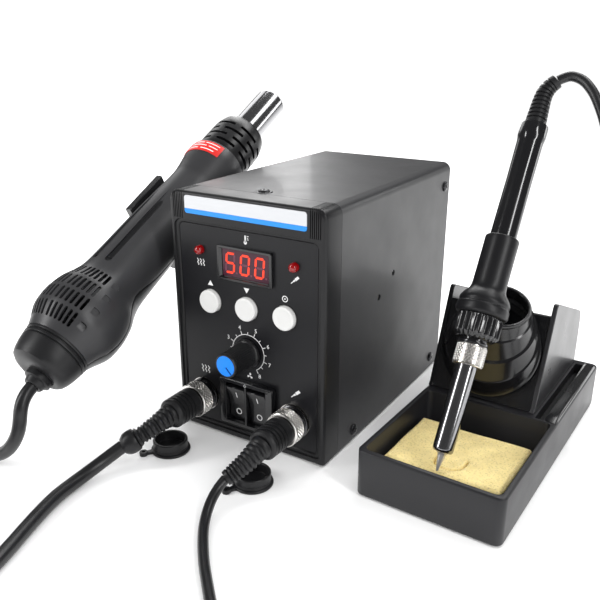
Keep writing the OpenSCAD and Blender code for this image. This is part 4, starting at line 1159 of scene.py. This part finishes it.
def sponge_material():
    """Cellulose: a pale yellow with pores of many sizes."""
    mat = finish("cellulose sponge", (0.82, 0.67, 0.31), 0.9, grain=700, bump=1.0, depth=0.7, spread_by=0.16,
                 patch=160, specular=0.2)
    tree = mat.node_tree
    link = tree.links.new
    shader = tree.nodes["Principled BSDF"]
    where = add_node(tree, "TexCoord")
    pores = add_node(tree, "TexVoronoi", Scale=800)
    dark = add_node(tree, "MapRange", From_Min=0.12, From_Max=0.42, To_Min=0.74, To_Max=1.0)
    mixed = add_node(tree, "MixRGB", Fac=1)
    mixed.blend_type = "MULTIPLY"
    link(where.outputs["Object"], pores.inputs["Vector"])
    link(pores.outputs["Distance"], dark.inputs["Value"])
    link(shader.inputs["Base Color"].links[0].from_socket, mixed.inputs["Color1"])
    link(dark.outputs["Result"], mixed.inputs["Color2"])
    link(mixed.outputs["Color"], shader.inputs["Base Color"])
    shader.inputs["Subsurface Weight"].default_value = 0.12
    shader.inputs["Subsurface Radius"].default_value = (0.004, 0.003, 0.001)
    return mat


def sponge_shape():
    """A damp block with soft edges, an uneven top and a U-shaped slit near the front."""
    half_x, half_y, low, high = 30, 23, 4.1, 17.4
    random.seed(4)
    bumps = [(random.uniform(-30, 30), random.uniform(-23, 23), random.uniform(3, 9), random.uniform(-0.5, 0.35))
             for _ in range(60)]
    columns, rows = 120, 92

    def top(x, y):
        z = high - 0.25
        for bx, by, r, h in bumps:
            z += h * math.exp(-((x - bx) ** 2 + (y - by) ** 2) / (r * r))
        edge = min(half_x - abs(x), half_y - abs(y))
        if edge < 2:
            z -= 1.6 * (1 - edge / 2) ** 2
        if y < -5.5:
            off_slit = abs(math.hypot(x, min(y + 10, 0)) - 7.5)
            z -= 2.4 * math.exp(-(off_slit / 0.6) ** 2)
        return min(z, 17.55)

    points, faces = [], []
    xs = [-half_x + 2 * half_x * i / columns for i in range(columns + 1)]
    ys = [-half_y + 2 * half_y * j / rows for j in range(rows + 1)]
    for y in ys:
        points += [(x, y, top(x, y)) for x in xs]
    wide = columns + 1
    faces += [(j * wide + i, j * wide + i + 1, (j + 1) * wide + i + 1, (j + 1) * wide + i)
              for j in range(rows) for i in range(columns)]
    rim = ([i for i in range(wide)] + [j * wide + columns for j in range(1, rows + 1)]
           + [rows * wide + i for i in range(columns - 1, -1, -1)] + [j * wide for j in range(rows - 1, 0, -1)])
    loop = rim
    for z in (14, 11, 8, 5, low):
        base = len(points)
        inset = 0.5 if z == low else 0
        for n in rim:
            x, y, _ = points[n]
            points.append((x * (1 - inset / half_x), y * (1 - inset / half_y), z))
        fresh = list(range(base, base + len(rim)))
        faces += [(loop[k], fresh[k], fresh[(k + 1) % len(rim)], loop[(k + 1) % len(rim)]) for k in range(len(rim))]
        loop = fresh
    faces.append(tuple(reversed(loop)))
    return Shape().add(points, faces, at(36.5, 40, 0))


sponge = make("sponge_block", sponge_shape(), STAND, "root", sponge_material(), ["cleaning_sponge"],
              angle=60)


# --- Studio ---

def softbox(name, where, aim, size, power, along=(0, 0, 1)):
    """A soft light at a place, turned to its aim, with its height as near to one direction as it can be."""
    data = bpy.data.lights.new(name, "AREA")
    data.shape = "RECTANGLE"
    data.size, data.size_y = size
    data.energy = power
    lamp = bpy.data.objects.new(name, data)
    bpy.context.scene.collection.objects.link(lamp)
    lamp.location = where
    out = (Vector(where) - Vector(aim)).normalized()
    side = Vector(along).cross(out).normalized()
    lamp.rotation_euler = Matrix((side, out.cross(side), out)).transposed().to_euler()


def studio():
    """A white sweep under an even sky that reflections see much dimmer, with soft boxes for the highlights."""
    floor = Shape().block((-9000, -9000, -4), (9000, 9000, -0.05))
    ground = raw_object("floor", floor, Matrix.Identity(4))
    ground.data.materials.append(finish("floor", (0.95, 0.95, 0.95), 0.9, grain=30, bump=0.01, depth=0.02,
                                        spread_by=0.01, specular=0))
    world = bpy.data.worlds.new("studio")
    bpy.context.scene.world = world
    world.use_nodes = True
    tree = world.node_tree
    link = tree.links.new
    white_sky = (1, 1, 1, 1)
    sky = tree.nodes["Background"]
    sky.inputs["Color"].default_value = white_sky
    sky.inputs["Strength"].default_value = 1.1
    dim = add_node(tree, "Background", Color=white_sky, Strength=0.12)
    ray = add_node(tree, "LightPath")
    both = add_node(tree, "MixShader")
    link(ray.outputs["Is Glossy Ray"], both.inputs["Fac"])
    link(sky.outputs["Background"], both.inputs[1])
    link(dim.outputs["Background"], both.inputs[2])
    link(both.outputs["Shader"], tree.nodes["World Output"].inputs["Surface"])
    softbox("top", (-0.05, 0.68, 0.95), (0.0, 0.0, 0.1), (0.9, 0.35), 5)
    softbox("left strip", (-0.75, -0.75, 0.55), (-0.05, 0.0, 0.12), (0.14, 0.9), 6)
    softbox("right strip", (0.95, -0.35, 0.65), (0.1, 0.0, 0.1), (0.12, 0.9), 5)
    softbox("rear strip", (-0.6, 0.8, 0.6), (-0.05, 0.0, 0.12), (0.2, 0.9), 2.4)
    # Three cards that the steel tube mirrors as stripes along its length
    tube_at, away, height = Vector((-0.104, 0.088, 0.161)), 0.8, 0.45
    for name, way, width, power in (("tube left", (-0.723, 0.489, 0.488), 0.45, 1.2),
                                    ("tube middle", (0.520, 0.324, 0.791), 0.24, 1.2),
                                    ("tube right", (0.712, 0.693, 0.115), 0.15, 0.8)):
        softbox(name, tube_at + away * Vector(way), tube_at, (width, height), power, gun_axis)
    bpy.context.scene.view_settings.view_transform = "Standard"


studio()
